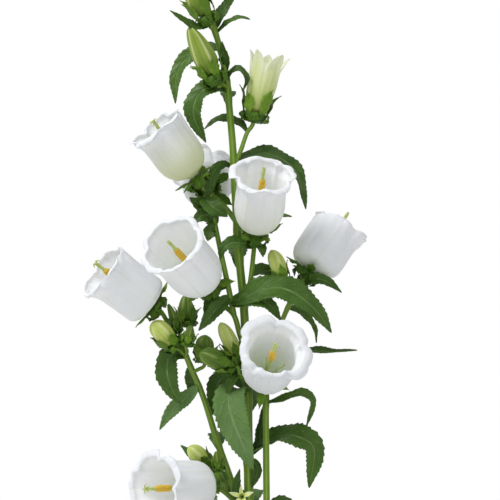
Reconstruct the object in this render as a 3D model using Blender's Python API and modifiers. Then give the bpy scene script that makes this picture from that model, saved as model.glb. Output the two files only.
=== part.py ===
# Canterbury bells in a plain glazed vase: three cut leafy stems with white bells and buds, standing in water.
# Metres, +Z up, viewed along +Y. The origin is the middle of the vase's foot.

import math
import random

import bmesh
import bpy
from mathutils import Matrix, Vector

MM = 0.001

# The plant is laid out on an upright grid through the vase's axis. Columns run to the right, rows run down,
# and a depth in millimetres runs away from the viewer. A place is (column, row, depth).
GRID = 0.72 * MM
AXIS_COLUMN = 255
LEVEL_ROW = 500
LEVEL_HEIGHT = 265 * MM
VIEW = Vector((0, 1, 0))
SIDEWAYS = Vector((1, 0, 0))

GAP = 0.35 * MM
MERGE = 0.01 * MM
BLADE_THICKNESS = 0.7 * MM
PETAL_THICKNESS = 0.7 * MM
LOBES = 5
SEED = 11

# Vase: outer profile from lip to foot as (radius, height) in millimetres.
VASE_OUTSIDE = ((39, 210), (34.5, 200), (33, 186), (37.5, 164), (45, 136), (50.5, 104), (51, 76), (47.5, 44),
                (41.5, 16), (39.5, 2), (38, 0))
VASE_WALL = 4.5
VASE_FLOOR = 9
FLOOR_CORNER = 5
VASE_STEPS = 20
WATER_LEVEL = 150
WATER_GAP = 0.6
STEM_HOLE_PLAY = 0.4
STEM_HOLE_START = 3
STEM_HOLE_PLACES = 4

# Stalks: (route, radius at the start and at the end in millimetres).
STALKS = {
    "stem_middle": ([(243, 855, -4), (247, 720, -3), (251, 576, 0), (249, 500, 0), (248, 430, 0),
                     (247.5, 385, 0), (244, 309, 0), (239, 255, 0), (235.5, 200, 0), (233, 150, 0),
                     (229.2, 106, 0), (226.5, 78, 0), (219, 45, 0), (209, 12, 0), (205, -10, 0),
                     (204, -30, 0)], 3.9, 1.7),
    "stem_left": ([(262, 855, 12), (258, 720, 13), (250, 576, 14), (236, 500, 13), (216.7, 441, 9),
                   (203.5, 398, 3), (190, 365, -2), (183, 348, -3)], 3.0, 1.8),
    "stem_right": ([(272, 855, -10), (270, 720, -10), (267, 576, -9), (266.5, 500, -8), (266, 440, -8),
                    (266, 403, -6), (267.5, 378, 1), (272, 350, 4), (281, 324, 4),
                    (292, 298, 3)], 2.8, 1.7),
}

# Shoots: (what it carries, route, radius at the start and at the end in millimetres). A shoot goes on
# from its route into the calyx that it carries.
SHOOTS = {
    "stem_middle": (
        ("bell_large", [(246, 352, 0), (240, 335, -4), (234, 315, -5), (222, 304, 0)], 2.1, 1.7),
        ("bell_back", [(234, 315, -5), (228, 285, -7), (219, 243, -8), (213, 213, -9)], 2.1, 1.6),
        ("bell_high", [(236, 222, 0), (226, 208, 5), (214, 196, 5), (207, 190, -2)], 1.9, 1.6),
        ("bell_upper", [(245, 312, 0), (249, 290, -5), (252, 268, -8)], 1.9, 1.6),
        ("bell_low", [(250, 530, 0), (238, 507, 2), (226, 493, 0)], 2.1, 1.8),
        ("bud_pale", [(226, 493, 0), (223, 481, 3)], 1.6, 1.4),
        ("bud_low", [(223, 481, 3), (221, 475, -5)], 1.4, 1.2),
        ("bud_star", [(249.5, 520, 0), (247, 507, -8)], 1.5, 1.3),
        ("bell_opening", [(235, 165, 0), (241, 150, -1), (247, 133, -1)], 1.7, 1.5),
        ("bud_slim", [(247, 396, 0), (246, 380, -6)], 1.5, 1.3),
        ("bud_green", [(246.5, 385, -3), (240, 374, -12)], 1.5, 1.4),
        ("bud_long", [(227, 88, 0), (221, 84, -6)], 1.6, 1.4),
        ("bud_top", [(214, 30, 0), (210, 27, -4)], 1.5, 1.4),
        ("bud_side", [(206, -2, 0), (208, -8, 3)], 1.3, 1.1),
        ("bud_tip", [(205, -10, 0), (204, -20, 0)], 1.6, 1.5),
    ),
    "stem_left": (
        ("bell_left", [(183, 348, -3), (174, 334, -1)], 1.7, 1.6),
        ("bud_plump", [(186, 356, -2.5), (181, 350, -6)], 1.6, 1.4),
        ("bud_thin", [(183, 348, -3), (181, 339, -5)], 1.4, 1.2),
        ("bud_leafy", [(184, 351, -3), (187, 338, 4)], 1.6, 1.4),
        ("bud_small", [(186, 356, -3), (187.5, 350, -11)], 1.4, 1.2),
        ("bud_shaded", [(193, 372, -2), (201, 368, -2)], 1.4, 1.3),
    ),
    "stem_right": (
        ("bell_outer", [(291, 299.5, 3), (302, 284, 1)], 1.7, 1.6),
        ("bell_front", [(266, 412, -7), (266.5, 400, -5)], 2.0, 1.8),
        ("bud_right", [(297, 288, 3), (291, 289, -3)], 1.3, 1.2),
    ),
}
SHOOT_NECK = 2 * MM
SHOOT_REACH = 0.55

# Leaves: (midrib places, width in millimetres, turn at the base, turn at the tip). A turn of 0 degrees
# faces the viewer and 90 is edge-on. A turn of None holds the blade square to the viewer's left and
# right instead.
LEAVES = {
    "stem_middle": (
        ([(214, 30, 0), (220.5, 14, 4), (229, 0, 8), (238, -14, 12)], 8, -30, -30),
        ([(216.5, 32, 0), (228, 22.5, -3), (240, 18, -6), (250, 20, -9)], 6, -60, -60),
        ([(209, 26, -4), (196, 28, -15), (184, 22, -20), (171, 13, -21)], 6, 35, 35),
        ([(220, 50, 0), (207, 47, 7), (192, 53, 11), (181, 63, 11), (175, 79, 9), (175, 103, 6)], 11, 45, 20),
        ([(227, 91, 0), (216, 88, -5), (205, 90, -8), (196, 100, -8), (194, 117, -8), (206, 143, -8)],
         13, 55, 0),
        ([(226, 80, 0), (233, 71, -7), (241, 71, -11), (247, 80, -12), (243, 92, -9)], 6, -55, -45),
        ([(247, 131, -1), (238, 122, 6), (228, 118, 9), (216, 119, 10), (204, 128, 10)], 8, 50, 50),
        ([(236, 160, 0), (250, 154.5, 5), (268, 153, 8), (286, 161, 8), (299, 177, 5), (306, 209, 0)],
         14, -62, -45),
        ([(208, 197, -10), (211, 182, -11), (217, 168, -4), (226, 164, 3), (234, 170, 7)], 8, 30, 30),
        ([(208, 198, -10), (207, 200, -16), (213, 207, -20), (221, 212, -20), (228, 217, -18)],
         12, None, None),
        ([(216, 225, -8), (210, 216, -13), (202, 216, -16), (193, 223, -17)], 11, 15, 15),
        ([(214, 216, -9), (204, 208, -13), (190, 198, -15)], 10, 20, 20),
        ([(217, 232, -8), (211, 231, -13), (208, 241, -14)], 9, 20, 10),
        ([(236, 232, 0), (252, 222, 10), (272, 215, 14), (292, 216, 10)], 9, -50, -50),
        ([(254.5, 246, -8.5), (260, 246, -15), (262.5, 250, -18), (263, 257, -18)], 7, None, None),
        ([(254.5, 246, -8.5), (243, 243, -15), (231, 243, -17), (223, 249, -17), (220, 260, -15)], 9, 35, 20),
        ([(231, 301, -7.5), (245, 297, -13), (262, 289, -17), (283, 288, -19), (302, 298, -19),
          (318, 313, -17),
          (331, 332, -14)], 18, -38, -20),
        ([(232, 304, -7.5), (245, 300, -14), (258, 299, -17), (270, 305, -17), (281, 320, -14)],
         11, -35, -25),
        ([(251.5, 275, -8), (257, 272, -3), (264, 270, 1), (272, 276, 3), (278, 287, 3)], 10, -40, -30),
        ([(248, 456, 0), (258, 449, 3), (270, 440, 5), (284, 435, 2), (300, 437, -5), (314, 449, -8),
          (309, 487, -7)], 18, -88, 5),
        ([(248, 458, 0), (257, 447, 4), (261.5, 425, 5), (264, 403, 5)], 7, -50, -40),
        ([(247, 396, 0), (238, 388, -9), (230, 396, -16), (233, 418, -19), (253, 468, -13)], 21, None, None),
        ([(246, 388, 2), (232, 377, 9), (220, 381, 14), (214, 395, 15), (211, 418, 14)], 13, 30, 0),
        ([(230, 296, -7), (221, 304, -12), (211, 315, -15), (199, 330, -16)], 10, 20, 20),
        ([(228, 286, -7), (218, 288, -3), (210, 298, 0), (204, 315, 0)], 8, 30, 10),
        ([(243, 370, -7), (234, 376, -13), (229, 386, -15), (228, 397, -15)], 6, None, None),
        ([(248.5, 462, 0), (255, 463, -4), (257, 472, -5), (252, 487, -4)], 6, -20, 0),
        ([(226, 493, 0), (218, 481, 10), (203, 466, 16), (180, 447, 16)], 11, None, None),
        ([(240, 510, 1), (238, 497, -6), (236, 483, -9), (240, 468, -10)], 8, 30, 30),
        ([(250, 548, 0), (262, 532, 8), (281, 533, 14), (300, 556, 15)], 15, -60, -40),
        ([(250, 540, 0), (236, 528, -12), (214, 531, -20), (196, 551, -22)], 15, 55, 35),
        ([(239, 258, 0), (238, 248, 14), (237, 252, 28), (236, 268, 38)], 12, None, None),
        ([(248, 400, 0), (250, 388, 18), (252, 394, 38), (252, 416, 52)], 16, None, None),
        ([(228, 98, 0), (228, 90, 12), (227, 92, 25), (226, 102, 34)], 10, None, None),
        ([(225.5, 71, 0), (225.5, 60, -4), (223, 51, -5), (222, 42, -6)], 6, -20, -20),
        ([(249, 505, 0), (250, 492, 16), (252, 497, 34), (253, 516, 46)], 16, None, None),
    ),
    "stem_left": (
        ([(186, 356, -2.5), (177, 353, -3), (169, 358, -2), (167, 371, -3), (171, 387, -3), (181, 404, -2)],
         15, 30, 0),
        ([(198, 386, -1), (189, 396, 6), (178, 405, 10), (168, 416, 10), (159, 431, 9)], 10, 20, 10),
        ([(191, 366, -2), (190, 375, 3), (191, 387, 5), (194, 399, 5)], 7, 20, 20),
        ([(236, 500, 13), (226, 486, 20), (213, 484, 28), (203, 496, 36)], 13, 50, 40),
        ([(218, 446, 9), (217, 435, 22), (216, 439, 35), (215, 453, 44)], 12, None, None),
    ),
    "stem_right": (
        ([(269, 365, 3), (284, 361, 7), (300, 356, 4), (313, 350.5, 0), (333, 351, -3), (357, 349.5, -4)],
         8, -55, -65),
        ([(266, 402, -6), (280, 398.5, -10), (292, 394, -12), (303, 392, -12), (312.5, 401, -10),
          (306, 427, -7)], 7, -60, -35),
        ([(288, 308, 4), (298, 310, 9), (308, 318, 10), (315, 329, 7), (317, 343, 4)], 6, -30, -60),
        ([(266.5, 520, -8), (276, 507, 2), (291, 508, 12), (306, 522, 16)], 13, -55, -40),
        ([(276, 338, 4), (279, 328, 18), (283, 332, 32), (286, 346, 41)], 12, None, None),
        ([(300, 287, 2), (310, 279, -8), (326, 281, -14), (341, 292, -17)], 8, -20, -30),
    ),
}

CURVE_STEPS = 6
LEAF_STEPS = 6
SMALL_LEAF = 8
TOOTH = 0.09
FOLD = 0.22

# Open bells: stem, place of the base, place that the mouth points at, and turn about the axis in
# degrees. Then in millimetres the length, the tube's and the rim's radius, and the style's length, and
# last the share of the length at which the tube has its full width.
BELLS = {
    "bell_high": ("stem_middle", (195, 176.5, -12.5), (158, 127.5, -21), 20, 47, 17.6, 21.8, 52, 0.36),
    "bell_back": ("stem_middle", (207, 186.5, 10.5), (203, 172, 56), 0, 47, 17.5, 22.5, 50, 0.22),
    "bell_upper": ("stem_middle", (256, 231.5, -13), (263.5, 172.5, -44.5), 12, 52, 17.7, 23.5, 57, 0.36),
    "bell_large": ("stem_middle", (206.5, 283.5, -9), (170.5, 241.5, -52), 8, 57, 19.6, 24.8, 60, 0.34),
    "bell_left": ("stem_left", (151, 304, -8), (104.5, 268.5, -20), 4, 46, 18.6, 21.8, 53, 0.16),
    "bell_outer": ("stem_right", (309.5, 270, -1), (340.5, 225, 13), 10, 44, 18.8, 21.0, 55, 0.24),
    "bell_front": ("stem_right", (265.5, 376, -10), (274, 345, -55), 46, 51, 18.9, 26.0, 57, 0.3),
    "bell_low": ("stem_middle", (204, 486, -9), (152, 483, -44), 40, 51, 19.2, 27.0, 58, 0.18),
}
BELL_FOOT = 0.09
# At this share of the way up to the full width a bell is this wide, and less with a longer way.
BELL_BELLY = (0.3, 0.92, 0.45)
BELL_WIDENING = 1.03
BELL_FLARE = (0.78, 0.93)
BELL_AROUND = 20
BELL_NOTCH = 0.13

# Half-open bells: as the open ones, with pointed lobes.
HALF_OPEN = {
    "bell_opening": ("stem_middle", (255.5, 112, 0), (269.5, 51, 0), 0, 44),
    "bud_star": ("stem_middle", (242.3, 494.7, -15), (241, 492, -30), 18, 15),
}
HALF_OPEN_PROFILE = ((0.08, 0.0), (0.19, 0.10), (0.23, 0.45), (0.25, 0.78), (0.32, 1.0))
HALF_OPEN_NOTCH = 0.30
HALF_OPEN_SWELL = 0.2
HALF_OPEN_CALYX = 0.7
SMALL_BELL = 30

# Buds: stem, place of the base, place of the tip, radius in millimetres.
BUDS = {
    "bud_tip": ("stem_middle", (203.5, -37, 0), (200, -76, 0), 6.0),
    "bud_side": ("stem_middle", (215.5, -22, 7.5), (227, -48, 13), 4.6),
    "bud_top": ("stem_middle", (205, 15.5, -8), (182, -25, -14), 7.5),
    "bud_long": ("stem_middle", (212.5, 74.5, -10.5), (189.5, 29, -17), 8.0),
    "bud_slim": ("stem_middle", (238.5, 358.5, -8.5), (220.5, 322, -12.5), 4.4),
    "bud_green": ("stem_middle", (228.5, 362.5, -16.5), (200, 352, -22), 6.2),
    "bud_pale": ("stem_middle", (207, 463.5, 8), (188, 447.5, 6), 5.2),
    "bud_plump": ("stem_left", (172.5, 342, -11), (153, 321.5, -18), 6.8),
    "bud_leafy": ("stem_left", (187, 321, 8), (185, 295, 9), 6.0),
    "bud_right": ("stem_right", (283.5, 278.5, -6.5), (271, 250, -9), 4.6),
}
# Small green buds that are one piece with their stem.
GREEN_BUDS = {
    "bud_low": ("stem_middle", (219, 465, -11), (216, 448, -15), 3.6),
    "bud_thin": ("stem_left", (177, 327, -6), (168, 302, -7), 3.2),
    "bud_small": ("stem_left", (188, 341, -15), (192, 323, -17), 4.0),
    "bud_shaded": ("stem_left", (204.5, 357, -2), (205, 333, -1), 6.4),
}
BUD_SHAPE = ((0.0, 0.55), (0.2, 0.92), (0.5, 1.0), (0.78, 0.74), (0.94, 0.36), (1.0, 0.0))
BUD_RIDGE = 0.13
BUD_TWIST = 22
GREEN_BUD_SINK = 1.2

# Calyx: a receptacle with five sepals, and a folded-back lobe between each two. Its rings as (radius,
# height) in millimetres under a sepal, then under a folded lobe. A sepal's tip is set for each one.
BELL_CALYX = (((2.3, -8.5), (2.3, -8.5)), ((4.4, -6.5), (7.8, -9.5)), ((7.4, -2.6), (8.8, -4.6)),
              (None, (6.8, -1.3)), ((6.4, -1.1), (6.8, -1.3)), ((4.6, -0.35), (4.8, -0.35)))
BELL_SEPAL_REACH = (15, 24)
BELL_SEPAL_LIFT = (-5, 3.5)
# The same for a bud, in shares of its radius and of its length.
BUD_CALYX = (((0.30, -0.26), (0.30, -0.26)), ((0.66, -0.20), (1.02, -0.24)), ((1.24, 0.17), (1.16, 0.0)),
             (None, (1.16, 0.0)), ((1.12, 0.17), (1.16, 0.0)), ((0.62, 0.0), (0.7, 0.0)))
BUD_SEPAL_REACH = (1.3, 1.75)
BUD_SEPAL_LIFT = (0.42, 0.62)
BUD_SEPAL_CLEAR = 0.5
CALYX_SINK = 0.35

# Style: (radius in millimetres, share of the length), from the foot to the split stigma.
STYLE_PROFILE = ((1.4, 0.0), (1.1, 0.5), (2.2, 0.56), (2.2, 0.78), (1.2, 0.81), (1.2, 0.94), (2.3, 1.0))
STYLE_SIDES = 6
STIGMA_NOTCH = 0.45

GREEN = (0.10, 0.24, 0.045)
COLOURS = {
    "leafy": (GREEN, 0.55),
    "petal": ((0.86, 0.88, 0.90), 0.6),
    "bud": ((0.47, 0.56, 0.17), 0.55),
    "style": ((0.78, 0.62, 0.12), 0.7),
    "vase": ((0.80, 0.79, 0.76), 0.18),
    "water": ((0.72, 0.82, 0.82), 0.05),
}


def at(place):
    column, row, depth = place
    return Vector(((column - AXIS_COLUMN) * GRID, depth * MM, LEVEL_HEIGHT + (LEVEL_ROW - row) * GRID))


def smooth(points, steps):
    """Points of a Catmull-Rom curve through the given points, steps to each span."""
    line = [points[0] * 2 - points[1], *points, points[-1] * 2 - points[-2]]
    found = []
    for a, b, c, d in zip(line, line[1:], line[2:], line[3:]):
        for step in range(steps):
            t = step / steps
            found.append((b * 2 + (c - a) * t + (a * 2 - b * 5 + c * 4 - d) * t * t
                          + (b * 3 - a - c * 3 + d) * t ** 3) / 2)
    return [*found, points[-1]]


def spaced(points, count):
    """The same line as count points an equal length apart."""
    lengths = [0.0]
    for a, b in zip(points, points[1:]):
        lengths.append(lengths[-1] + (b - a).length)
    found = []
    span = 0
    for step in range(count):
        wanted = lengths[-1] * step / (count - 1)
        while span < len(points) - 2 and lengths[span + 1] < wanted:
            span += 1
        share = (wanted - lengths[span]) / (lengths[span + 1] - lengths[span])
        found.append(points[span].lerp(points[span + 1], share))
    return found


def material(kind):
    made = bpy.data.materials.get(kind)
    if made is None:
        colour, roughness = COLOURS[kind]
        made = bpy.data.materials.new(kind)
        made.use_nodes = True
        shader = made.node_tree.nodes["Principled BSDF"]
        shader.inputs["Base Color"].default_value = (*colour, 1)
        shader.inputs["Roughness"].default_value = roughness
        shader.inputs["Metallic"].default_value = 0
        made.diffuse_color = (*colour, 1)
    return made


def add_object(name, data, collection, kind):
    obj = bpy.data.objects.new(name, data)
    obj.data.materials.append(material(kind))
    collection.objects.link(obj)
    return obj


def mesh_object(name, bm, collection, kind):
    mesh = bpy.data.meshes.new(name)
    bm.to_mesh(mesh)
    bm.free()
    return add_object(name, mesh, collection, kind)


def solidify(obj, thickness):
    shell = obj.modifiers.new("Wall", "SOLIDIFY")
    shell.thickness = thickness
    shell.offset = 0


def evaluated_mesh(obj):
    bpy.context.view_layer.update()
    return bpy.data.meshes.new_from_object(obj.evaluated_get(bpy.context.evaluated_depsgraph_get()))


def tube(name, line, first, last, collection):
    """A six-sided stem along a line, tapering from one radius to the other."""
    curve = bpy.data.curves.new(name, "CURVE")
    curve.dimensions = "3D"
    curve.bevel_depth = MM
    curve.bevel_resolution = 1
    curve.use_fill_caps = True
    spline = curve.splines.new("POLY")
    spline.points.add(len(line) - 1)
    for index, place in enumerate(line):
        share = index / (len(line) - 1)
        spline.points[index].co = (*place, 1)
        spline.points[index].radius = first + (last - first) * share
    guide = add_object(name, curve, collection, "leafy")
    bm = bmesh.new()
    bm.from_mesh(evaluated_mesh(guide))
    bmesh.ops.remove_doubles(bm, verts=bm.verts, dist=MERGE)
    bpy.data.objects.remove(guide)
    return mesh_object(name, bm, collection, "leafy")


def half_width(share):
    """Half the width of a leaf at a share of its length, for a leaf of width 1."""
    return 0.5 * (0.22 * (1 - share) + 0.97 * math.sin(math.pi * share ** 0.85) ** 0.85 + 0.03)


def side_of(tangent, turn):
    """Direction across a blade: square to the midrib, turned from facing the viewer."""
    if turn is None:
        return (SIDEWAYS - tangent * tangent.dot(SIDEWAYS)).normalized()
    across = tangent.cross(VIEW).normalized()
    return Matrix.Rotation(math.radians(turn), 3, tangent) @ across


def blade(name, line, width, turns, across, collection):
    """A pointed, toothed leaf blade whose midrib follows a line."""
    along = len(line) - 1
    bm = bmesh.new()
    bmesh.ops.create_grid(bm, x_segments=along, y_segments=across, size=0.5)
    for vertex in bm.verts:
        step = round((vertex.co.x + 0.5) * along)
        offset = vertex.co.y * 2
        share = step / along
        tangent = (line[min(step + 1, along)] - line[max(step - 1, 0)]).normalized()
        turn = None if turns[0] is None else turns[0] + (turns[1] - turns[0]) * share
        side = side_of(tangent, turn)
        reach = half_width(share) * width * MM
        if abs(offset) > 0.9:
            reach *= 1 + (TOOTH if step % 2 else -TOOTH)
        vertex.co = line[step] + side * offset * reach + tangent.cross(side) * abs(offset) * reach * FOLD
    bmesh.ops.triangulate(bm, faces=bm.faces)
    obj = mesh_object(name, bm, collection, "leafy")
    solidify(obj, BLADE_THICKNESS)
    return obj


def frame_at(base, mouth, turn):
    """Matrix that stands a flower drawn along +Z on its base, pointing at its mouth."""
    axis = (mouth - base).normalized()
    stand = axis.to_track_quat("Z", "Y").to_matrix().to_4x4()
    return Matrix.Translation(base) @ stand @ Matrix.Rotation(math.radians(turn), 4, "Z")


def along_profile(profile, share):
    """The profile's (radius, height) at a share of its points."""
    place = share * (len(profile) - 1)
    index = min(int(place), len(profile) - 2)
    part = place - index
    (r0, h0), (r1, h1) = profile[index], profile[index + 1]
    return r0 + (r1 - r0) * part, h0 + (h1 - h0) * part


def bell_profile(length, tube_radius, rim_radius, shoulder):
    """A bell's (radius, height), from the ring on the calyx to the rolled tip of a lobe."""
    flare, tip = BELL_FLARE
    low, full, less = BELL_BELLY
    foot = BELL_FOOT * length
    widest = shoulder * length
    return ((foot, 0.0), ((full - less * shoulder) * tube_radius, low * widest), (tube_radius, widest),
            (BELL_WIDENING * tube_radius, flare * length), (rim_radius, tip * length))


def corolla(name, frame, profile, notch, around, collection, kind):
    """A bell of joined petals: a wrapped grid whose rim runs further at each of five lobes."""
    rings = len(profile) - 1
    bm = bmesh.new()
    bmesh.ops.create_grid(bm, x_segments=around, y_segments=rings, size=0.5)
    for vertex in bm.verts:
        angle = (vertex.co.x + 0.5) * 2 * math.pi
        share = vertex.co.y + 0.5
        lobe = abs(math.cos(0.5 * LOBES * angle))
        share -= notch * (1 - lobe) * share ** 3
        radius, height = along_profile(profile, min(max(share, 0), 1))
        vertex.co = Vector((radius * math.cos(angle), radius * math.sin(angle), height)) * MM
    bmesh.ops.remove_doubles(bm, verts=bm.verts, dist=MERGE)
    bmesh.ops.triangulate(bm, faces=bm.faces)
    bmesh.ops.transform(bm, matrix=frame @ Matrix.Translation((0, 0, PETAL_THICKNESS / 2)), verts=bm.verts)
    obj = mesh_object(name, bm, collection, kind)
    solidify(obj, PETAL_THICKNESS)
    return obj


def turned(name, frame, rings, sides, place, collection, kind):
    """A closed turned solid. place(ring, side) gives a corner's radius, height and twist in radians."""
    bm = bmesh.new()
    bmesh.ops.create_grid(bm, x_segments=sides, y_segments=rings - 1, size=0.5)
    for vertex in bm.verts:
        side = round((vertex.co.x + 0.5) * sides)
        radius, height, twist = place(round((vertex.co.y + 0.5) * (rings - 1)), side)
        angle = side * 2 * math.pi / sides + twist
        vertex.co = (radius * math.cos(angle), radius * math.sin(angle), height)
    bmesh.ops.remove_doubles(bm, verts=bm.verts, dist=MERGE)
    bmesh.ops.holes_fill(bm, edges=bm.edges, sides=0)
    bmesh.ops.triangulate(bm, faces=bm.faces)
    bmesh.ops.recalc_face_normals(bm, faces=bm.faces)
    bmesh.ops.transform(bm, matrix=frame, verts=bm.verts)
    return mesh_object(name, bm, collection, kind)


def bud(name, frame, length, radius, collection):
    last = len(BUD_SHAPE) - 1

    def place(ring, side):
        share, swell = BUD_SHAPE[ring]
        ridge = 1 - BUD_RIDGE if side % 2 else 1 + BUD_RIDGE
        return radius * swell * ridge, length * share, math.radians(BUD_TWIST) * (ring / last) ** 2

    return turned(name, frame, len(BUD_SHAPE), 2 * LOBES, place, collection, "bud")


def style(name, frame, length, collection):
    last = len(STYLE_PROFILE) - 1

    def place(ring, side):
        radius, share = STYLE_PROFILE[ring]
        notch = STIGMA_NOTCH if ring == last and side % 2 else 1
        return radius * notch * MM, share * length * MM, 0

    return turned(name, frame, len(STYLE_PROFILE), STYLE_SIDES, place, collection, "style")


def bell_calyx(name, frame, collection):
    chance = random.Random(f"{name} {SEED}")
    tips = [(chance.uniform(*BELL_SEPAL_REACH), chance.uniform(*BELL_SEPAL_LIFT)) for _ in range(LOBES)]

    def place(ring, side):
        pair = BELL_CALYX[ring][side % 2]
        radius, height = tips[side // 2 % LOBES] if pair is None else pair
        return radius * MM, height * MM, 0

    return turned(name, frame, len(BELL_CALYX), 2 * LOBES, place, collection, "leafy")


def bud_calyx(name, frame, length, radius, collection):
    chance = random.Random(f"{name} {SEED}")
    tips = [(chance.uniform(*BUD_SEPAL_REACH), chance.uniform(*BUD_SEPAL_LIFT)) for _ in range(LOBES)]

    def place(ring, side):
        pair = BUD_CALYX[ring][side % 2]
        share, lift = tips[side // 2 % LOBES] if pair is None else pair
        clear = BUD_SEPAL_CLEAR * MM if ring in (2, 3, 4) else 0
        return share * radius + clear, lift * length - CALYX_SINK * MM, 0

    return turned(name, frame, len(BUD_CALYX), 2 * LOBES, place, collection, "leafy")


def scraps(bm):
    """Every vertex that isn't in the largest connected body."""
    left = set(bm.verts)
    bodies = []
    while left:
        body = {left.pop()}
        front = list(body)
        while front:
            near = {edge.other_vert(vertex) for vertex in front for edge in vertex.link_edges} & left
            left -= near
            body |= near
            front = list(near)
        bodies.append(body)
    bodies.sort(key=len)
    return [vertex for body in bodies[:-1] for vertex in body]


def joined(name, parts, collection, cutters):
    """All the parts as one closed solid."""
    body = parts[0]
    others = bpy.data.collections.new(name + "_joined")
    bpy.context.scene.collection.children.link(others)
    for part in parts[1:]:
        cutters.objects.unlink(part)
        others.objects.link(part)
    join = body.modifiers.new("Join", "BOOLEAN")
    join.operation = "UNION"
    join.operand_type = "COLLECTION"
    join.collection = others
    join.solver = "MANIFOLD"
    bm = bmesh.new()
    bm.from_mesh(evaluated_mesh(body))
    bmesh.ops.triangulate(bm, faces=bm.faces)
    bmesh.ops.delete(bm, geom=scraps(bm), context="VERTS")
    made = mesh_object(name, bm, collection, "leafy")
    for part in parts:
        bpy.data.objects.remove(part)
    bpy.data.collections.remove(others)
    return made


def growths():
    """What each shoot carries: its base, its axis and how far down from the base its calyx reaches."""
    found = {}
    for name, (stem, base, mouth, *rest) in {**BELLS, **HALF_OPEN, **BUDS, **GREEN_BUDS}.items():
        axis = at(mouth) - at(base)
        length = rest[1] * MM * HALF_OPEN_CALYX if name in HALF_OPEN else axis.length
        down = -BELL_CALYX[0][0][1] * MM if name in BELLS else -BUD_CALYX[0][0][1] * length
        found[name] = at(base), axis.normalized(), down
    return found


def leafy_stem(stem, collection, cutters):
    """A stalk with its shoots, leaves and calyces, grown as one piece."""
    route, first, last = STALKS[stem]
    parts = [tube(stem + "_stalk", [at(place) for place in route], first, last, cutters)]
    carried = growths()
    for carries, route, first, last in SHOOTS[stem]:
        base, axis, down = carried[carries]
        line = [*map(at, route), base - axis * (down + SHOOT_NECK), base - axis * down * SHOOT_REACH]
        parts.append(tube(carries + "_shoot", line, first, last, cutters))
    for index, (route, width, *turns) in enumerate(LEAVES[stem]):
        steps, across = (LEAF_STEPS, 2) if width > SMALL_LEAF else (LEAF_STEPS - 1, 1)
        line = spaced(smooth([at(place) for place in route], CURVE_STEPS), steps + 1)
        parts.append(blade(f"{stem}_leaf_{index}", line, width, turns, across, cutters))
    for name, (grows_on, base, mouth, turn, *sizes) in BELLS.items():
        if grows_on == stem:
            parts.append(bell_calyx(name + "_calyx", frame_at(at(base), at(mouth), turn), cutters))
    for name, (grows_on, base, mouth, turn, length) in HALF_OPEN.items():
        if grows_on == stem:
            radius = HALF_OPEN_SWELL * length * MM
            frame = frame_at(at(base), at(mouth), turn)
            parts.append(bud_calyx(name + "_calyx", frame, HALF_OPEN_CALYX * length * MM, radius, cutters))
    for name, (grows_on, base, tip, radius) in {**BUDS, **GREEN_BUDS}.items():
        if grows_on == stem:
            frame = frame_at(at(base), at(tip), 0)
            length = (at(tip) - at(base)).length
            parts.append(bud_calyx(name + "_calyx", frame, length, radius * MM, cutters))
            if name in GREEN_BUDS:
                sunk = frame @ Matrix.Translation((0, 0, -GREEN_BUD_SINK * MM))
                parts.append(bud(name, sunk, length, radius * MM, cutters))
    return joined(stem, parts, collection, cutters)


def vase(collection):
    inside = [(r - VASE_WALL, h) for r, h in reversed(VASE_OUTSIDE) if h > VASE_FLOOR]
    floor = [(0, VASE_FLOOR), (inside[0][0] - FLOOR_CORNER, VASE_FLOOR)]
    bm = bmesh.new()
    ends = [bm.verts.new((r * MM, 0, h * MM)) for r, h in [*floor, *inside, *VASE_OUTSIDE, (0, 0)]]
    for a, b in zip(ends, ends[1:]):
        bm.edges.new((a, b))
    obj = mesh_object("vase", bm, collection, "vase")
    turn = obj.modifiers.new("Turn", "SCREW")
    turn.steps = VASE_STEPS
    turn.render_steps = VASE_STEPS
    turn.use_merge_vertices = True
    turn.merge_threshold = MERGE
    turn.use_normal_calculate = True
    return obj


def inner_radius(height):
    """The vase's inner radius at a height in millimetres."""
    for (r1, h1), (r0, h0) in zip(VASE_OUTSIDE, VASE_OUTSIDE[1:]):
        if h0 <= height <= h1:
            return r0 + (r1 - r0) * (height - h0) / (h1 - h0) - VASE_WALL
    return VASE_OUTSIDE[0][0] - VASE_WALL


def water(collection, cutters):
    """The water that fills the vase below its shoulder, with a hole for each stalk."""
    heights = [h for r, h in reversed(VASE_OUTSIDE) if VASE_FLOOR < h < WATER_LEVEL]
    rings = [(inner_radius(heights[0]) - FLOOR_CORNER - WATER_GAP, VASE_FLOOR + GAP / MM)]
    rings += [(inner_radius(h) - WATER_GAP, h) for h in [*heights, WATER_LEVEL]]

    def place(ring, side):
        radius, height = rings[ring]
        return radius * MM, height * MM, 0

    pool = turned("pool", Matrix.Identity(4), len(rings), VASE_STEPS, place, cutters, "water")
    for stem, (route, first, last) in STALKS.items():
        line = [at(place) for place in route[:STEM_HOLE_PLACES]]
        line[0] -= Vector((0, 0, STEM_HOLE_START * MM))
        bore = tube(stem + "_bore", line, first + STEM_HOLE_PLAY, first + STEM_HOLE_PLAY, cutters)
        bore.hide_render = True
        bore.display_type = "WIRE"
        cut = pool.modifiers.new("Hole", "BOOLEAN")
        cut.operation = "DIFFERENCE"
        cut.object = bore
        cut.solver = "EXACT"
    made = add_object("water", evaluated_mesh(pool), collection, "water")
    bpy.data.objects.remove(pool)
    return made


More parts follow.
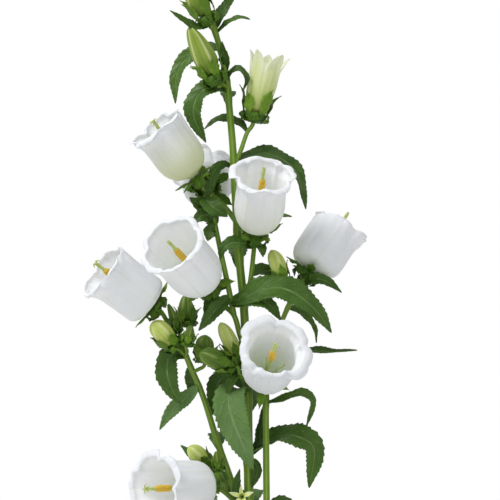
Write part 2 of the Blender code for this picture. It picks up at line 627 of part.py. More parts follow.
def main():
    for obj in list(bpy.data.objects):
        bpy.data.objects.remove(obj)
    collection = bpy.data.collections.new("bellflower_in_vase")
    # Holds the cutters, and for a while the parts that are to be joined into a stem.
    cutters = bpy.data.collections.new("cutters")
    for each in (collection, cutters):
        bpy.context.scene.collection.children.link(each)
    vase(collection)
    water(collection, cutters)
    for stem in STALKS:
        leafy_stem(stem, collection, cutters)
    for name, (stem, base, mouth, turn, length, *radii, style_length, shoulder) in BELLS.items():
        frame = frame_at(at(base), at(mouth), turn)
        profile = bell_profile(length, *radii, shoulder)
        corolla(name, frame, profile, BELL_NOTCH, BELL_AROUND, collection, "petal")
        style(name.replace("bell", "style"), frame, style_length, collection)
    for name, (stem, base, mouth, turn, length) in HALF_OPEN.items():
        frame = frame_at(at(base), at(mouth), turn)
        around = BELL_AROUND if length > SMALL_BELL else BELL_AROUND // 2
        profile = [(radius * length, height * length) for radius, height in HALF_OPEN_PROFILE]
        corolla(name, frame, profile, HALF_OPEN_NOTCH, around, collection, "bud")
    for name, (stem, base, tip, radius) in BUDS.items():
        frame = frame_at(at(base), at(tip), 0)
        bud(name, frame, (at(tip) - at(base)).length, radius * MM, collection)


main()
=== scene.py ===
import math
import random
from functools import partial

import bmesh
import bpy
from mathutils import Matrix, Vector, noise


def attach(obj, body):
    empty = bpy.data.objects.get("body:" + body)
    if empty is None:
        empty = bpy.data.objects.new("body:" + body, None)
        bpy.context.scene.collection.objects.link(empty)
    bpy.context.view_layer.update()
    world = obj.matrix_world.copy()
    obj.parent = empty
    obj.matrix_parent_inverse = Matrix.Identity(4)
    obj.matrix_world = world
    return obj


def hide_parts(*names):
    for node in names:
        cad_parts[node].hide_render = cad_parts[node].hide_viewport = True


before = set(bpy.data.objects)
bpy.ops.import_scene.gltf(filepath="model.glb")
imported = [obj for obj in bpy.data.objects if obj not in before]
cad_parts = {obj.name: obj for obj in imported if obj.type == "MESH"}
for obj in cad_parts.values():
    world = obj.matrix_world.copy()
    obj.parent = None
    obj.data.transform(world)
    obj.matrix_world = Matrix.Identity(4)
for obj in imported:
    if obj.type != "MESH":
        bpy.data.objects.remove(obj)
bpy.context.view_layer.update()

mm = 0.001
fullTurn = 2 * math.pi
mergeWithin = 0.001 * mm
lobeCount = 5   # petals, sepals and stigma lobes of each flower

# The plant is laid out on an upright grid through the vase's axis: column, row, and depth away from the
# camera in mm.
layout = {"grid": 0.72 * mm, "axisColumn": 255, "levelRow": 500, "levelHeight": 265 * mm, "seed": 11}

view = {
    "column": 250, "row": 250,   # the grid place in the middle of the picture
    "width": 0.36,               # metres across the picture
    "lens": 180, "sensor": 36, "farthest": 20,
}

light = {
    "sky": (0.985, 0.992, 1.0), "skyForPlant": 0.58, "skyBehind": 1.0,
    "keyPlace": (-1.1, -0.8, 2.0), "keySize": 0.9, "keyPower": 26.0,
    "fillPlace": (1.2, -1.3, 0.9), "fillSize": 1.2, "fillPower": 2.0,
    "floorRadius": 2.2, "floorSides": 96,
}


def at(spot):
    column, row, depth = spot
    return Vector(((column - layout["axisColumn"]) * layout["grid"], depth * mm,
                   layout["levelHeight"] + (layout["levelRow"] - row) * layout["grid"]))


def curveThrough(points, steps):
    # a Catmull-Rom line through the points
    line = [points[0] * 2 - points[1], *points, points[-1] * 2 - points[-2]]
    found = []
    for a, b, c, d in zip(line, line[1:], line[2:], line[3:]):
        for step in range(steps):
            t = step / steps
            found.append((b * 2 + (c - a) * t + (a * 2 - b * 5 + c * 4 - d) * t * t
                          + (b * 3 - a - c * 3 + d) * t ** 3) / 2)
    return [*found, points[-1]]


def lineLength(points):
    return sum((b - a).length for a, b in zip(points, points[1:]))


def evenLine(points, count):
    # the same line as count points an equal length apart
    lengths = [0.0]
    for a, b in zip(points, points[1:]):
        lengths.append(lengths[-1] + (b - a).length)
    found = []
    span = 0
    for step in range(count):
        wanted = lengths[-1] * step / (count - 1)
        while span < len(points) - 2 and lengths[span + 1] < wanted:
            span += 1
        share = (wanted - lengths[span]) / max(lengths[span + 1] - lengths[span], 1e-9)
        found.append(points[span].lerp(points[span + 1], share))
    return found


def profileLine(points, count, steps=6):
    # an even line through (first, second) pairs
    return evenLine(curveThrough([Vector((first, second, 0)) for first, second in points], steps), count)


def onLine(line, share):
    place = min(max(share, 0), 1) * (len(line) - 1)
    index = min(int(place), len(line) - 2)
    return line[index].lerp(line[index + 1], place - index)


def directionAt(line, step):
    return (line[min(step + 1, len(line) - 1)] - line[max(step - 1, 0)]).normalized()


def soft(low, high, value):
    t = min(max((value - low) / (high - low), 0), 1)
    return t * t * (3 - 2 * t)


def bump(value, width):
    return math.exp(-(value / width) ** 2)


def seeded(label):
    return random.Random(f"{label} {layout['seed']}")


def flowerFrame(base, mouth, turn):
    # Z runs from the base to the mouth
    axis = (mouth - base).normalized()
    stand = axis.to_track_quat("Z", "Y").to_matrix().to_4x4()
    return Matrix.Translation(base) @ stand @ Matrix.Rotation(math.radians(turn), 4, "Z")


# materials: node helpers, three groups, then one look for each finish
def nodeGroup(name, inputs, colours, values):
    # a tuple makes a colour input, a number a value input; colours and values name the outputs
    group = bpy.data.node_groups.new(name, "ShaderNodeTree")
    for label, start in inputs.items():
        kind = "NodeSocketColor" if isinstance(start, tuple) else "NodeSocketFloat"
        group.interface.new_socket(label, in_out="INPUT", socket_type=kind).default_value = start
    for kind, labels in (("NodeSocketColor", colours), ("NodeSocketFloat", values)):
        for label in labels:
            group.interface.new_socket(label, in_out="OUTPUT", socket_type=kind)
    return group, group.nodes.new("NodeGroupInput").outputs, group.nodes.new("NodeGroupOutput").inputs


def giveSocket(tree, socket, value):
    # a number or a colour is set, anything else is linked
    if isinstance(value, (int, float)):
        socket.default_value = value
    elif isinstance(value, tuple):
        socket.default_value = (*value, 1)
    else:
        tree.links.new(value, socket)


def addMath(tree, operation, *values):
    node = tree.nodes.new("ShaderNodeMath")
    node.operation = operation
    for socket, value in zip(node.inputs, values):
        giveSocket(tree, socket, value)
    return node.outputs[0]


def addMix(tree, factor, first, second):
    # the Mix node's colours are its inputs 6 and 7, and its output 2
    node = tree.nodes.new("ShaderNodeMix")
    node.data_type = "RGBA"
    for index, value in ((0, factor), (6, first), (7, second)):
        giveSocket(tree, node.inputs[index], value)
    return node.outputs[2]


def addRise(tree, value, low, high):
    # a soft step from 0 at low to 1 at high
    node = tree.nodes.new("ShaderNodeMapRange")
    node.interpolation_type = "SMOOTHSTEP"
    for label, given in (("Value", value), ("From Min", low), ("From Max", high)):
        giveSocket(tree, node.inputs[label], given)
    return node.outputs["Result"]


def addFall(tree, value, low, high):
    return addMath(tree, "SUBTRACT", 1.0, addRise(tree, value, low, high))


def addNoise(tree, vector, scale, detail=3.0):
    node = tree.nodes.new("ShaderNodeTexNoise")
    for label, given in (("Vector", vector), ("Scale", scale), ("Detail", detail)):
        giveSocket(tree, node.inputs[label], given)
    return node.outputs["Fac"]


def objectPlace(tree):
    return tree.nodes.new("ShaderNodeTexCoord").outputs["Object"]


def growthMap(tree):
    # a piece's own map, and its two directions
    node = tree.nodes.new("ShaderNodeUVMap")
    node.uv_map = "growth"
    parts = tree.nodes.new("ShaderNodeSeparateXYZ")
    tree.links.new(node.outputs["UV"], parts.inputs[0])
    return node.outputs["UV"], parts.outputs["X"], parts.outputs["Y"]


def makeMottleGroup():
    # soft patches between two colours, and a fine grain for bump
    white = (1, 1, 1, 1)
    group, given, put = nodeGroup("mottle", {"Colour": white, "Patch": white, "Patch Scale": 60.0,
                                             "Grain Scale": 900.0}, ["Colour"], ["Grain", "Patches"])
    spot = objectPlace(group)
    patches = addRise(group, addNoise(group, spot, given["Patch Scale"]), 0.35, 0.68)
    group.links.new(addMix(group, patches, given["Colour"], given["Patch"]), put["Colour"])
    group.links.new(addNoise(group, spot, given["Grain Scale"], 2.0), put["Grain"])
    group.links.new(patches, put["Patches"])
    return group


def makeVeinGroup():
    # a leaf's midrib and slanting side veins, from its own map: along in X, across in Y
    group, given, put = nodeGroup("leafVeins", {"Side Veins": 9.0, "Slant": 1.6}, [], ["Veins", "Midrib"])
    calc = partial(addMath, group)
    growth, along, side = growthMap(group)
    across = calc("ABSOLUTE", calc("SUBTRACT", calc("MULTIPLY", side, 2.0), 1.0))
    climb = calc("SUBTRACT", calc("MULTIPLY", along, given["Side Veins"]),
                 calc("MULTIPLY", calc("POWER", across, 0.8), given["Slant"]))
    climb = calc("ADD", climb, calc("MULTIPLY", addNoise(group, growth, 7.0, 2.0), 0.7))
    off = calc("ABSOLUTE", calc("SUBTRACT", calc("FRACT", climb), 0.5))
    sideVeins = calc("MULTIPLY", addFall(group, off, 0.02, 0.11), addFall(group, across, 0.55, 1.0))
    midrib = addFall(group, across, 0.02, 0.12)
    group.links.new(calc("MAXIMUM", sideVeins, midrib), put["Veins"])
    group.links.new(midrib, put["Midrib"])
    return group


def makeUpLinesGroup():
    # lines that run up a petal, bud or stalk: around in X, up in Y
    group, given, put = nodeGroup("upLines", {"Lines": 60.0, "Ribs": 5.0, "Rib Width": 0.2}, [],
                                  ["Lines", "Rib", "Up"])
    calc = partial(addMath, group)
    growth, around, up = growthMap(group)
    stretched = group.nodes.new("ShaderNodeCombineXYZ")
    group.links.new(calc("MULTIPLY", around, given["Lines"]), stretched.inputs[0])
    group.links.new(calc("MULTIPLY", up, 5.0), stretched.inputs[1])
    turn = calc("FRACT", calc("ADD", calc("MULTIPLY", around, given["Ribs"]), 0.5))
    off = calc("ABSOLUTE", calc("SUBTRACT", turn, 0.5))
    rib = calc("SUBTRACT", 1.0, calc("DIVIDE", off, calc("MULTIPLY", given["Rib Width"], 0.5)))
    group.links.new(addNoise(group, stretched.outputs[0], 1.0), put["Lines"])
    group.links.new(calc("MAXIMUM", rib, 0.0), put["Rib"])
    group.links.new(up, put["Up"])
    return group


mottleGroup = makeMottleGroup()
veinGroup = makeVeinGroup()
upLinesGroup = makeUpLinesGroup()


def newMaterial(name, roughness, subsurface=0.0, coat=0.0, specular=0.5):
    made = bpy.data.materials.new(name)
    made.use_nodes = True
    shader = made.node_tree.nodes["Principled BSDF"].inputs
    shader["Roughness"].default_value = roughness
    shader["Metallic"].default_value = 0
    shader["Specular IOR Level"].default_value = specular
    shader["Coat Weight"].default_value = coat
    if subsurface:
        shader["Subsurface Weight"].default_value = subsurface
        shader["Subsurface Scale"].default_value = 3 * mm
        shader["Subsurface Radius"].default_value = (1.0, 0.95, 0.8)
    return made, made.node_tree, shader


def addGroup(tree, group, **values):
    node = tree.nodes.new("ShaderNodeGroup")
    node.node_tree = group
    for label, value in values.items():
        giveSocket(tree, node.inputs[label.replace("_", " ")], value)
    return node.outputs


def addBump(tree, shader, height, distance, strength=1.0):
    node = tree.nodes.new("ShaderNodeBump")
    node.inputs["Strength"].default_value = strength
    node.inputs["Distance"].default_value = distance
    tree.links.new(height, node.inputs["Height"])
    tree.links.new(node.outputs["Normal"], shader["Normal"])


def leafMaterial(name, look):
    made, tree, shader = newMaterial(name, look["roughness"], specular=look["specular"])
    calc = partial(addMath, tree)
    mottle = addGroup(tree, mottleGroup, Colour=look["colour"], Patch=look["patch"], Patch_Scale=90.0,
                      Grain_Scale=1500.0)
    veins = addGroup(tree, veinGroup, Side_Veins=look["sideVeins"], Slant=1.7)
    tone = tree.nodes.new("ShaderNodeAttribute")
    tone.attribute_name = "tone"
    colour = addMix(tree, tone.outputs["Fac"], mottle["Colour"], look["young"])
    colour = addMix(tree, calc("MULTIPLY", veins["Veins"], look["veinShow"]), colour, look["vein"])
    colour = addMix(tree, calc("MULTIPLY", veins["Midrib"], look["ribShow"]), colour, look["vein"])
    tree.links.new(colour, shader["Base Color"])
    height = calc("ADD", calc("MULTIPLY", veins["Veins"], look["veinHeight"]),
                  calc("MULTIPLY", mottle["Grain"], 0.25))
    addBump(tree, shader, height, 0.5 * mm, 0.8)
    return made


def upMaterial(name, look):
    # petals, buds and stalks: a base colour that changes upwards, ribs, and fine lines
    made, tree, shader = newMaterial(name, look["roughness"], look["subsurface"], specular=look["specular"])
    calc = partial(addMath, tree)
    mottle = addGroup(tree, mottleGroup, Colour=look["colour"], Patch=look["patch"],
                      Patch_Scale=look["patchScale"], Grain_Scale=1400.0)
    lines = addGroup(tree, upLinesGroup, Lines=look["lines"], Ribs=look["ribs"], Rib_Width=look["ribWidth"])
    low = addFall(tree, lines["Up"], look["baseFrom"], look["baseTo"])
    high = addRise(tree, lines["Up"], look["tipFrom"], 1.0)
    fine = addRise(tree, lines["Lines"], 0.5, 0.8)
    colour = addMix(tree, calc("MULTIPLY", low, look["baseShow"]), mottle["Colour"], look["base"])
    # on the bells the tip colour is a painted highlight on the rims
    colour = addMix(tree, calc("MULTIPLY", high, look["tipShow"]), colour, look["tip"])
    colour = addMix(tree, calc("MULTIPLY", lines["Rib"], look["ribShow"]), colour, look["rib"])
    colour = addMix(tree, calc("MULTIPLY", fine, look["lineShow"]), colour, look["line"])
    tree.links.new(colour, shader["Base Color"])
    height = calc("ADD", lines["Lines"], calc("MULTIPLY", mottle["Grain"], 0.2))
    addBump(tree, shader, height, look["relief"], 0.7)
    if look["paintedGlow"]:   # painted glow: emission that stands in for light coming through a thin petal, but not in the rim
        deep = addFall(tree, lines["Up"], 0.78, 0.90)
        tree.links.new(addMix(tree, deep, (0, 0, 0), colour), shader["Emission Color"])
        shader["Emission Strength"].default_value = look["paintedGlow"]
    return made


leafLooks = {
    "leafTop": {
        "colour": (0.034, 0.088, 0.009), "patch": (0.062, 0.132, 0.020), "young": (0.095, 0.200, 0.020),
        "vein": (0.20, 0.31, 0.09), "veinShow": 0.25, "ribShow": 0.6, "veinHeight": -1.0, "sideVeins": 8.0,
        "roughness": 0.40, "specular": 0.26},
    "leafUnder": {
        "colour": (0.105, 0.205, 0.060), "patch": (0.135, 0.240, 0.085), "young": (0.15, 0.27, 0.07),
        "vein": (0.24, 0.36, 0.15), "veinShow": 0.5, "ribShow": 0.7, "veinHeight": 1.0, "sideVeins": 8.0,
        "roughness": 0.6, "specular": 0.15},
    "calyxGreen": {
        "colour": (0.030, 0.090, 0.005), "patch": (0.070, 0.160, 0.010), "young": (0.16, 0.30, 0.020),
        "vein": (0.17, 0.29, 0.04), "veinShow": 0.25, "ribShow": 0.5, "veinHeight": -0.8, "sideVeins": 5.0,
        "roughness": 0.45, "specular": 0.22},
}
petalLook = {
    "colour": (0.85, 0.865, 0.905), "patch": (0.82, 0.835, 0.865), "patchScale": 45.0, "relief": 0.22 * mm,
    "lines": 130.0, "line": (0.74, 0.76, 0.75), "lineShow": 0.30,
    "ribs": 5.0, "ribWidth": 0.055, "rib": (0.70, 0.72, 0.46), "ribShow": 0.42,
    "base": (0.70, 0.735, 0.55), "baseFrom": 0.05, "baseTo": 0.45, "baseShow": 0.5,
    # the tip colour is a painted highlight: the rims are coloured a brighter, cooler white, as if lit from
    # above
    "tip": (0.89, 0.91, 0.955), "tipFrom": 0.72, "tipShow": 0.9,
    "roughness": 0.6, "subsurface": 0.42, "specular": 0.25, "paintedGlow": 0.0,
}
closedLook = {
    **petalLook, "baseFrom": 0.1, "baseTo": 0.8, "ribWidth": 0.30, "lines": 70.0, "lineShow": 0.5,
    "tipShow": 0.0, "roughness": 0.45, "specular": 0.3,
}
upLooks = {
    "petalWhite": petalLook,
    # the inside of a bell: a paler colour than the outside and a painted glow, both painted light standing in
    # for light that comes through the thin petal
    "petalInside": {
        **petalLook, "colour": (0.91, 0.92, 0.945), "patch": (0.88, 0.89, 0.905), "base": (0.50, 0.60, 0.36),
        "baseFrom": 0.03, "baseShow": 0.85, "ribShow": 0.3, "lineShow": 0.25, "paintedGlow": 0.08},
    "petalWarm": {**petalLook, "base": (0.70, 0.74, 0.52), "baseTo": 0.85, "baseShow": 0.75, "ribShow": 0.5},
    "petalCream": {
        **petalLook, "base": (0.56, 0.60, 0.32), "baseFrom": 0.15, "baseTo": 1.0, "baseShow": 0.95,
        "rib": (0.56, 0.62, 0.30), "ribShow": 0.55},
    "petalPale": {
        **petalLook, "colour": (0.70, 0.745, 0.43), "patch": (0.65, 0.70, 0.37), "base": (0.42, 0.51, 0.14),
        "baseFrom": 0.1, "baseTo": 0.95, "baseShow": 0.85, "tip": (0.78, 0.82, 0.58),
        "rib": (0.46, 0.55, 0.20), "ribShow": 0.6, "ribWidth": 0.09, "line": (0.56, 0.62, 0.34)},
    # the insides of the half-open buds carry a painted glow for light that comes through their petals
    "petalPaleInside": {
        **petalLook, "colour": (0.74, 0.78, 0.46), "patch": (0.70, 0.74, 0.40), "base": (0.60, 0.68, 0.28),
        "tip": (0.78, 0.82, 0.58), "paintedGlow": 0.22},
    "starInside": {
        **petalLook, "colour": (0.66, 0.72, 0.24), "patch": (0.60, 0.67, 0.19), "base": (0.30, 0.44, 0.05),
        "tip": (0.72, 0.77, 0.36), "paintedGlow": 0.10},
    "budGreen": {
        **closedLook, "colour": (0.30, 0.39, 0.06), "patch": (0.23, 0.32, 0.04), "base": (0.13, 0.24, 0.02),
        "baseShow": 0.65, "rib": (0.62, 0.67, 0.32), "ribShow": 0.85, "line": (0.18, 0.26, 0.035),
        "subsurface": 0.06},
    "budPale": {
        **closedLook, "colour": (0.60, 0.69, 0.19), "patch": (0.53, 0.62, 0.15), "base": (0.38, 0.49, 0.07),
        "baseTo": 0.7, "baseShow": 0.6, "rib": (0.74, 0.80, 0.42), "ribShow": 0.8, "ribWidth": 0.28,
        "line": (0.30, 0.42, 0.06), "lineShow": 0.4, "subsurface": 0.1},
    "budDark": {
        **closedLook, "colour": (0.14, 0.23, 0.025), "patch": (0.10, 0.18, 0.018), "baseShow": 0.7,
        "base": (0.06, 0.14, 0.010), "rib": (0.36, 0.45, 0.12), "ribShow": 0.6, "line": (0.07, 0.14, 0.015),
        "subsurface": 0.04},
    "stalkGreen": {
        **petalLook, "colour": (0.135, 0.255, 0.020), "patch": (0.180, 0.300, 0.036), "patchScale": 70.0,
        "base": (0.12, 0.20, 0.03), "baseFrom": 0.0, "baseTo": 0.5, "baseShow": 0.3,
        "rib": (0.33, 0.46, 0.10), "ribShow": 0.65, "ribWidth": 0.50,
        "line": (0.060, 0.150, 0.006), "lineShow": 0.45, "lines": 40.0, "relief": 0.3 * mm,
        "tip": (0.28, 0.41, 0.07), "tipFrom": 0.75, "tipShow": 0.6, "roughness": 0.45, "subsurface": 0.0},
}
# a grainy surface in two colours: roughness, how fine its patches and grain are, and the relief
speckLooks = {
    "pollen": ((0.76, 0.47, 0.040), (0.86, 0.60, 0.10), 0.85, 900.0, 2600.0, 0.4 * mm),
    "styleGreen": ((0.44, 0.54, 0.13), (0.55, 0.62, 0.22), 0.55, 400.0, 2000.0, 0.1 * mm),
    "filament": ((0.50, 0.62, 0.20), (0.60, 0.68, 0.28), 0.6, 300.0, 1500.0, 0.1 * mm),
    "vaseFoot": ((0.52, 0.43, 0.33), (0.45, 0.36, 0.27), 0.8, 60.0, 1500.0, 0.3 * mm),
    "paperFloor": ((0.86, 0.86, 0.85), (0.84, 0.84, 0.83), 0.85, 4.0, 300.0, 0.1 * mm),
}
glazeLook = {
    "colour": (0.78, 0.77, 0.73), "patch": (0.71, 0.70, 0.65), "patchScale": 16.0, "grainScale": 420.0,
    "speck": (0.34, 0.28, 0.20), "speckScale": 520.0, "speckFrom": (0.70, 0.76), "speckShow": 0.55,
    "roughness": 0.18, "patchRoughness": 0.10, "coat": 0.35, "coatRoughness": 0.08, "relief": 0.2 * mm,
}
waterLook = {
    "colour": (0.86, 0.93, 0.90), "roughness": 0.03, "ior": 1.33, "rippleScale": 60.0, "relief": 0.3 * mm,
}


def speckMaterial(name, look):
    colour, patch, roughness, patchScale, grainScale, relief = look
    made, tree, shader = newMaterial(name, roughness, specular=0.25)
    mottle = addGroup(tree, mottleGroup, Colour=colour, Patch=patch, Patch_Scale=patchScale,
                      Grain_Scale=grainScale)
    tree.links.new(mottle["Colour"], shader["Base Color"])
    addBump(tree, shader, mottle["Grain"], relief)
    return made


def glazeMaterial(name, look):
    made, tree, shader = newMaterial(name, look["roughness"], coat=look["coat"])
    shader["Coat Roughness"].default_value = look["coatRoughness"]
    mottle = addGroup(tree, mottleGroup, Colour=look["colour"], Patch=look["patch"],
                      Patch_Scale=look["patchScale"], Grain_Scale=look["grainScale"])
    specks = addRise(tree, addNoise(tree, objectPlace(tree), look["speckScale"], 1.0), *look["speckFrom"])
    specks = addMath(tree, "MULTIPLY", specks, look["speckShow"])
    tree.links.new(addMix(tree, specks, mottle["Colour"], look["speck"]), shader["Base Color"])
    rough = addMath(tree, "MULTIPLY", mottle["Patches"], look["patchRoughness"])
    tree.links.new(addMath(tree, "ADD", rough, look["roughness"]), shader["Roughness"])
    addBump(tree, shader, mottle["Grain"], look["relief"], 0.5)
    return made


def waterMaterial(name, look):
    made, tree, shader = newMaterial(name, look["roughness"])
    shader["Base Color"].default_value = (*look["colour"], 1)
    shader["Transmission Weight"].default_value = 1.0
    shader["IOR"].default_value = look["ior"]
    addBump(tree, shader, addNoise(tree, objectPlace(tree), look["rippleScale"], 1.0), look["relief"], 0.3)
    return made


materials = {name: leafMaterial(name, look) for name, look in leafLooks.items()}
materials.update({name: upMaterial(name, look) for name, look in upLooks.items()})
materials.update({name: speckMaterial(name, look) for name, look in speckLooks.items()})
materials["vaseGlaze"] = glazeMaterial("vaseGlaze", glazeLook)
materials["clearWater"] = waterMaterial("clearWater", waterLook)
print("materials:", len(materials))


def newMesh():
    bm = bmesh.new()
    bm.loops.layers.uv.new("growth")
    bm.verts.layers.float.new("tone")
    return bm


def gridOn(bm, long, wide):
    # a flat grid, with its map, whose corners are then moved into place
    return bmesh.ops.create_grid(bm, x_segments=long, y_segments=wide, size=0.5, calc_uvs=True)["verts"]


def roundPlace(vert):
    # a grid corner's angle round a flower or stalk, and its share of the way up
    return (vert.co.x + 0.5) * fullTurn, vert.co.y + 0.5


def bladePlace(vert, rows):
    # a grid corner's row along a blade, its place across from -1 to 1, and how near the edge that is
    across = vert.co.y * 2
    return round((vert.co.x + 0.5) * rows), across, abs(across)


def roundSpot(radius, angle, height):
    return Vector((radius * math.cos(angle), radius * math.sin(angle), height))


def lobeAngle(index):
    return index * fullTurn / lobeCount


def toneOn(bm, verts, tone):
    layer = bm.verts.layers.float["tone"]
    for vert in verts:
        vert[layer] = tone


def closeEnds(bm, verts):
    # sews a rolled-up grid along its seam and fills both ends
    bmesh.ops.remove_doubles(bm, verts=verts, dist=mergeWithin)
    verts = [vert for vert in verts if vert.is_valid]
    rims = {edge for vert in verts for edge in vert.link_edges if edge.is_boundary}
    return bmesh.ops.holes_fill(bm, edges=list(rims), sides=0)["faces"]


def placeInScene(name, data, place=(0, 0, 0)):
    made = bpy.data.objects.new(name, data)
    made.location = place
    bpy.context.scene.collection.objects.link(made)
    return made


def finishPiece(name, bm, slots, node, thickness=0.0, offset=-1.0, inner=0):
    # slots name the materials; a wall's other side takes the material that is inner slots further on
    mesh = bpy.data.meshes.new(name)
    bm.to_mesh(mesh)
    bm.free()
    for key in slots:
        mesh.materials.append(materials[key])
    mesh.polygons.foreach_set("use_smooth", [True] * len(mesh.polygons))
    piece = placeInScene(name, mesh)
    if thickness:
        wall = piece.modifiers.new("Wall", "SOLIDIFY")
        wall.thickness = thickness
        wall.offset = offset
        wall.material_offset = inner
    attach(piece, "root")
    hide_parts(node)


def tubeOn(bm, line, radii, sides, ridge=0.0, material=0, tone=0.0):
    # a tube along a line, closed at both ends; radii holds one value for each point
    rows = len(line) - 1
    verts = gridOn(bm, sides, rows)
    out = Vector((0, -1, 0))
    rings = []
    for step, (centre, radius) in enumerate(zip(line, radii)):
        tangent = directionAt(line, step)
        out = (out - tangent * out.dot(tangent)).normalized()
        rings.append((centre, radius, out.copy(), tangent.cross(out)))
    for vert in verts:
        angle, up = roundPlace(vert)
        centre, radius, ahead, beside = rings[round(up * rows)]
        radius *= 1 + ridge * math.cos(lobeCount * angle)
        vert.co = centre + ahead * radius * math.cos(angle) + beside * radius * math.sin(angle)
    toneOn(bm, verts, tone)
    for face in {face for vert in verts for face in vert.link_faces}:
        face.material_index = material
    for cap in closeEnds(bm, verts):
        cap.material_index = material


# stalks: places, then radius at the start and at the end in mm
stalks = {
    "stem_middle": ([(243, 855, -4), (247, 720, -3), (251, 576, 0), (249, 500, 0), (248, 430, 0),
                     (247.5, 385, 0), (244, 309, 0), (239, 255, 0), (235.5, 200, 0), (233, 150, 0),
                     (229.2, 106, 0), (226.5, 78, 0), (219, 45, 0), (209, 12, 0), (205, -10, 0),
                     (204, -30, 0)], 3.9, 1.7),
    "stem_left": ([(262, 855, 12), (258, 720, 13), (250, 576, 14), (236, 500, 13), (216.7, 441, 9),
                   (203.5, 398, 3), (190, 365, -2), (183, 348, -3)], 3.0, 1.8),
    "stem_right": ([(272, 855, -10), (270, 720, -10), (267, 576, -9), (266.5, 500, -8), (266, 440, -8),
                    (266, 403, -6), (267.5, 378, 1), (272, 350, 4), (281, 324, 4), (292, 298, 3)], 2.8, 1.7),
}
# the shoots from each stalk: what they carry, places, radius at the start and at the end in mm
shoots = {
    "stem_middle": (
        ("bell_large", [(246, 352, 0), (240, 335, -4), (234, 315, -5), (222, 304, 0)], 2.1, 1.7),
        ("bell_back", [(234, 315, -5), (228, 285, -7), (219, 243, -8), (213, 213, -9)], 2.1, 1.6),
        ("bell_high", [(236, 222, 0), (226, 208, 5), (214, 196, 5), (207, 190, -2)], 1.9, 1.6),
        ("bell_upper", [(245, 312, 0), (249, 290, -5), (252, 268, -8)], 1.9, 1.6),
        ("bell_low", [(250, 530, 0), (238, 507, 2), (226, 493, 0)], 2.1, 1.8),
        ("bud_pale", [(226, 493, 0), (223, 481, 3)], 1.6, 1.4),
        ("bud_low", [(223, 481, 3), (221, 475, -5)], 1.4, 1.2),
        ("bud_star", [(249.5, 520, 0), (247, 507, -8)], 1.5, 1.3),
        ("bell_opening", [(235, 165, 0), (241, 150, -1), (247, 133, -1)], 1.7, 1.5),
        ("bud_slim", [(247, 396, 0), (246, 380, -6)], 1.5, 1.3),
        ("bud_green", [(246.5, 385, -3), (240, 374, -12)], 1.5, 1.4),
        ("bud_long", [(227, 88, 0), (221, 84, -6)], 1.6, 1.4),
        ("bud_top", [(214, 30, 0), (210, 27, -4)], 1.5, 1.4),
        ("bud_side", [(206, -2, 0), (208, -8, 3)], 1.3, 1.1),
        ("bud_tip", [(205, -10, 0), (204, -20, 0)], 1.6, 1.5),
    ),
    "stem_left": (
        ("bell_left", [(183, 348, -3), (174, 334, -1)], 1.7, 1.6),
        ("bud_plump", [(186, 356, -2.5), (181, 350, -6)], 1.6, 1.4),
        ("bud_thin", [(183, 348, -3), (181, 339, -5)], 1.4, 1.2),
        ("bud_leafy", [(184, 351, -3), (187, 338, 4)], 1.6, 1.4),
        ("bud_small", [(186, 356, -3), (187.5, 350, -11)], 1.4, 1.2),
        ("bud_shaded", [(193, 372, -2), (201, 368, -2)], 1.4, 1.3),
    ),
    "stem_right": (
        ("bell_outer", [(291, 299.5, 3), (302, 284, 1)], 1.7, 1.6),
        ("bell_front", [(266, 412, -7), (266.5, 400, -5)], 2.0, 1.8),
        ("bud_right", [(297, 288, 3), (291, 289, -3)], 1.3, 1.2),
    ),
}
# stem, base, mouth, turn, then length, tube and rim radius and style length in mm, and the share of the
# length at which the tube is full
bells = {
    "bell_high": ("stem_middle", (195, 176.5, -12.5), (158, 127.5, -21), 20, 47, 17.6, 21.8, 52, 0.36),
    "bell_back": ("stem_middle", (207, 186.5, 10.5), (203, 172, 56), 0, 47, 17.5, 22.5, 50, 0.22),
    "bell_upper": ("stem_middle", (256, 231.5, -13), (263.5, 172.5, -44.5), 12, 52, 17.7, 23.5, 57, 0.36),
    "bell_large": ("stem_middle", (206.5, 283.5, -9), (170.5, 241.5, -52), 8, 57, 19.6, 24.8, 60, 0.34),
    "bell_left": ("stem_left", (151, 304, -8), (104.5, 268.5, -20), 4, 46, 18.6, 21.8, 53, 0.16),
    "bell_outer": ("stem_right", (309.5, 270, -1), (340.5, 225, 13), 10, 44, 18.8, 21.0, 55, 0.24),
    "bell_front": ("stem_right", (265.5, 376, -10), (274, 345, -55), 46, 51, 18.9, 26.0, 57, 0.3),
    "bell_low": ("stem_middle", (204, 486, -9), (152, 483, -44), 40, 51, 19.2, 27.0, 58, 0.18),
}
# stem, base, mouth, turn, length in mm
halfOpen = {
    "bell_opening": ("stem_middle", (255.5, 112, 0), (269.5, 51, 0), 0, 44),
    "bud_star": ("stem_middle", (242.3, 494.7, -15), (241, 492, -30), 18, 15),
}
# stem, base, tip, radius in mm
buds = {
    "bud_tip": ("stem_middle", (203.5, -37, 0), (200, -76, 0), 6.0),
    "bud_side": ("stem_middle", (215.5, -22, 7.5), (227, -48, 13), 4.6),
    "bud_top": ("stem_middle", (205, 15.5, -8), (182, -25, -14), 7.5),
    "bud_long": ("stem_middle", (212.5, 74.5, -10.5), (189.5, 29, -17), 8.0),
    "bud_slim": ("stem_middle", (238.5, 358.5, -8.5), (220.5, 322, -12.5), 4.4),
    "bud_green": ("stem_middle", (228.5, 362.5, -16.5), (200, 352, -22), 6.2),
    "bud_pale": ("stem_middle", (207, 463.5, 8), (188, 447.5, 6), 5.2),
    "bud_plump": ("stem_left", (172.5, 342, -11), (153, 321.5, -18), 6.8),
    "bud_leafy": ("stem_left", (187, 321, 8), (185, 295, 9), 6.0),
    "bud_right": ("stem_right", (283.5, 278.5, -6.5), (271, 250, -9), 4.6),
}
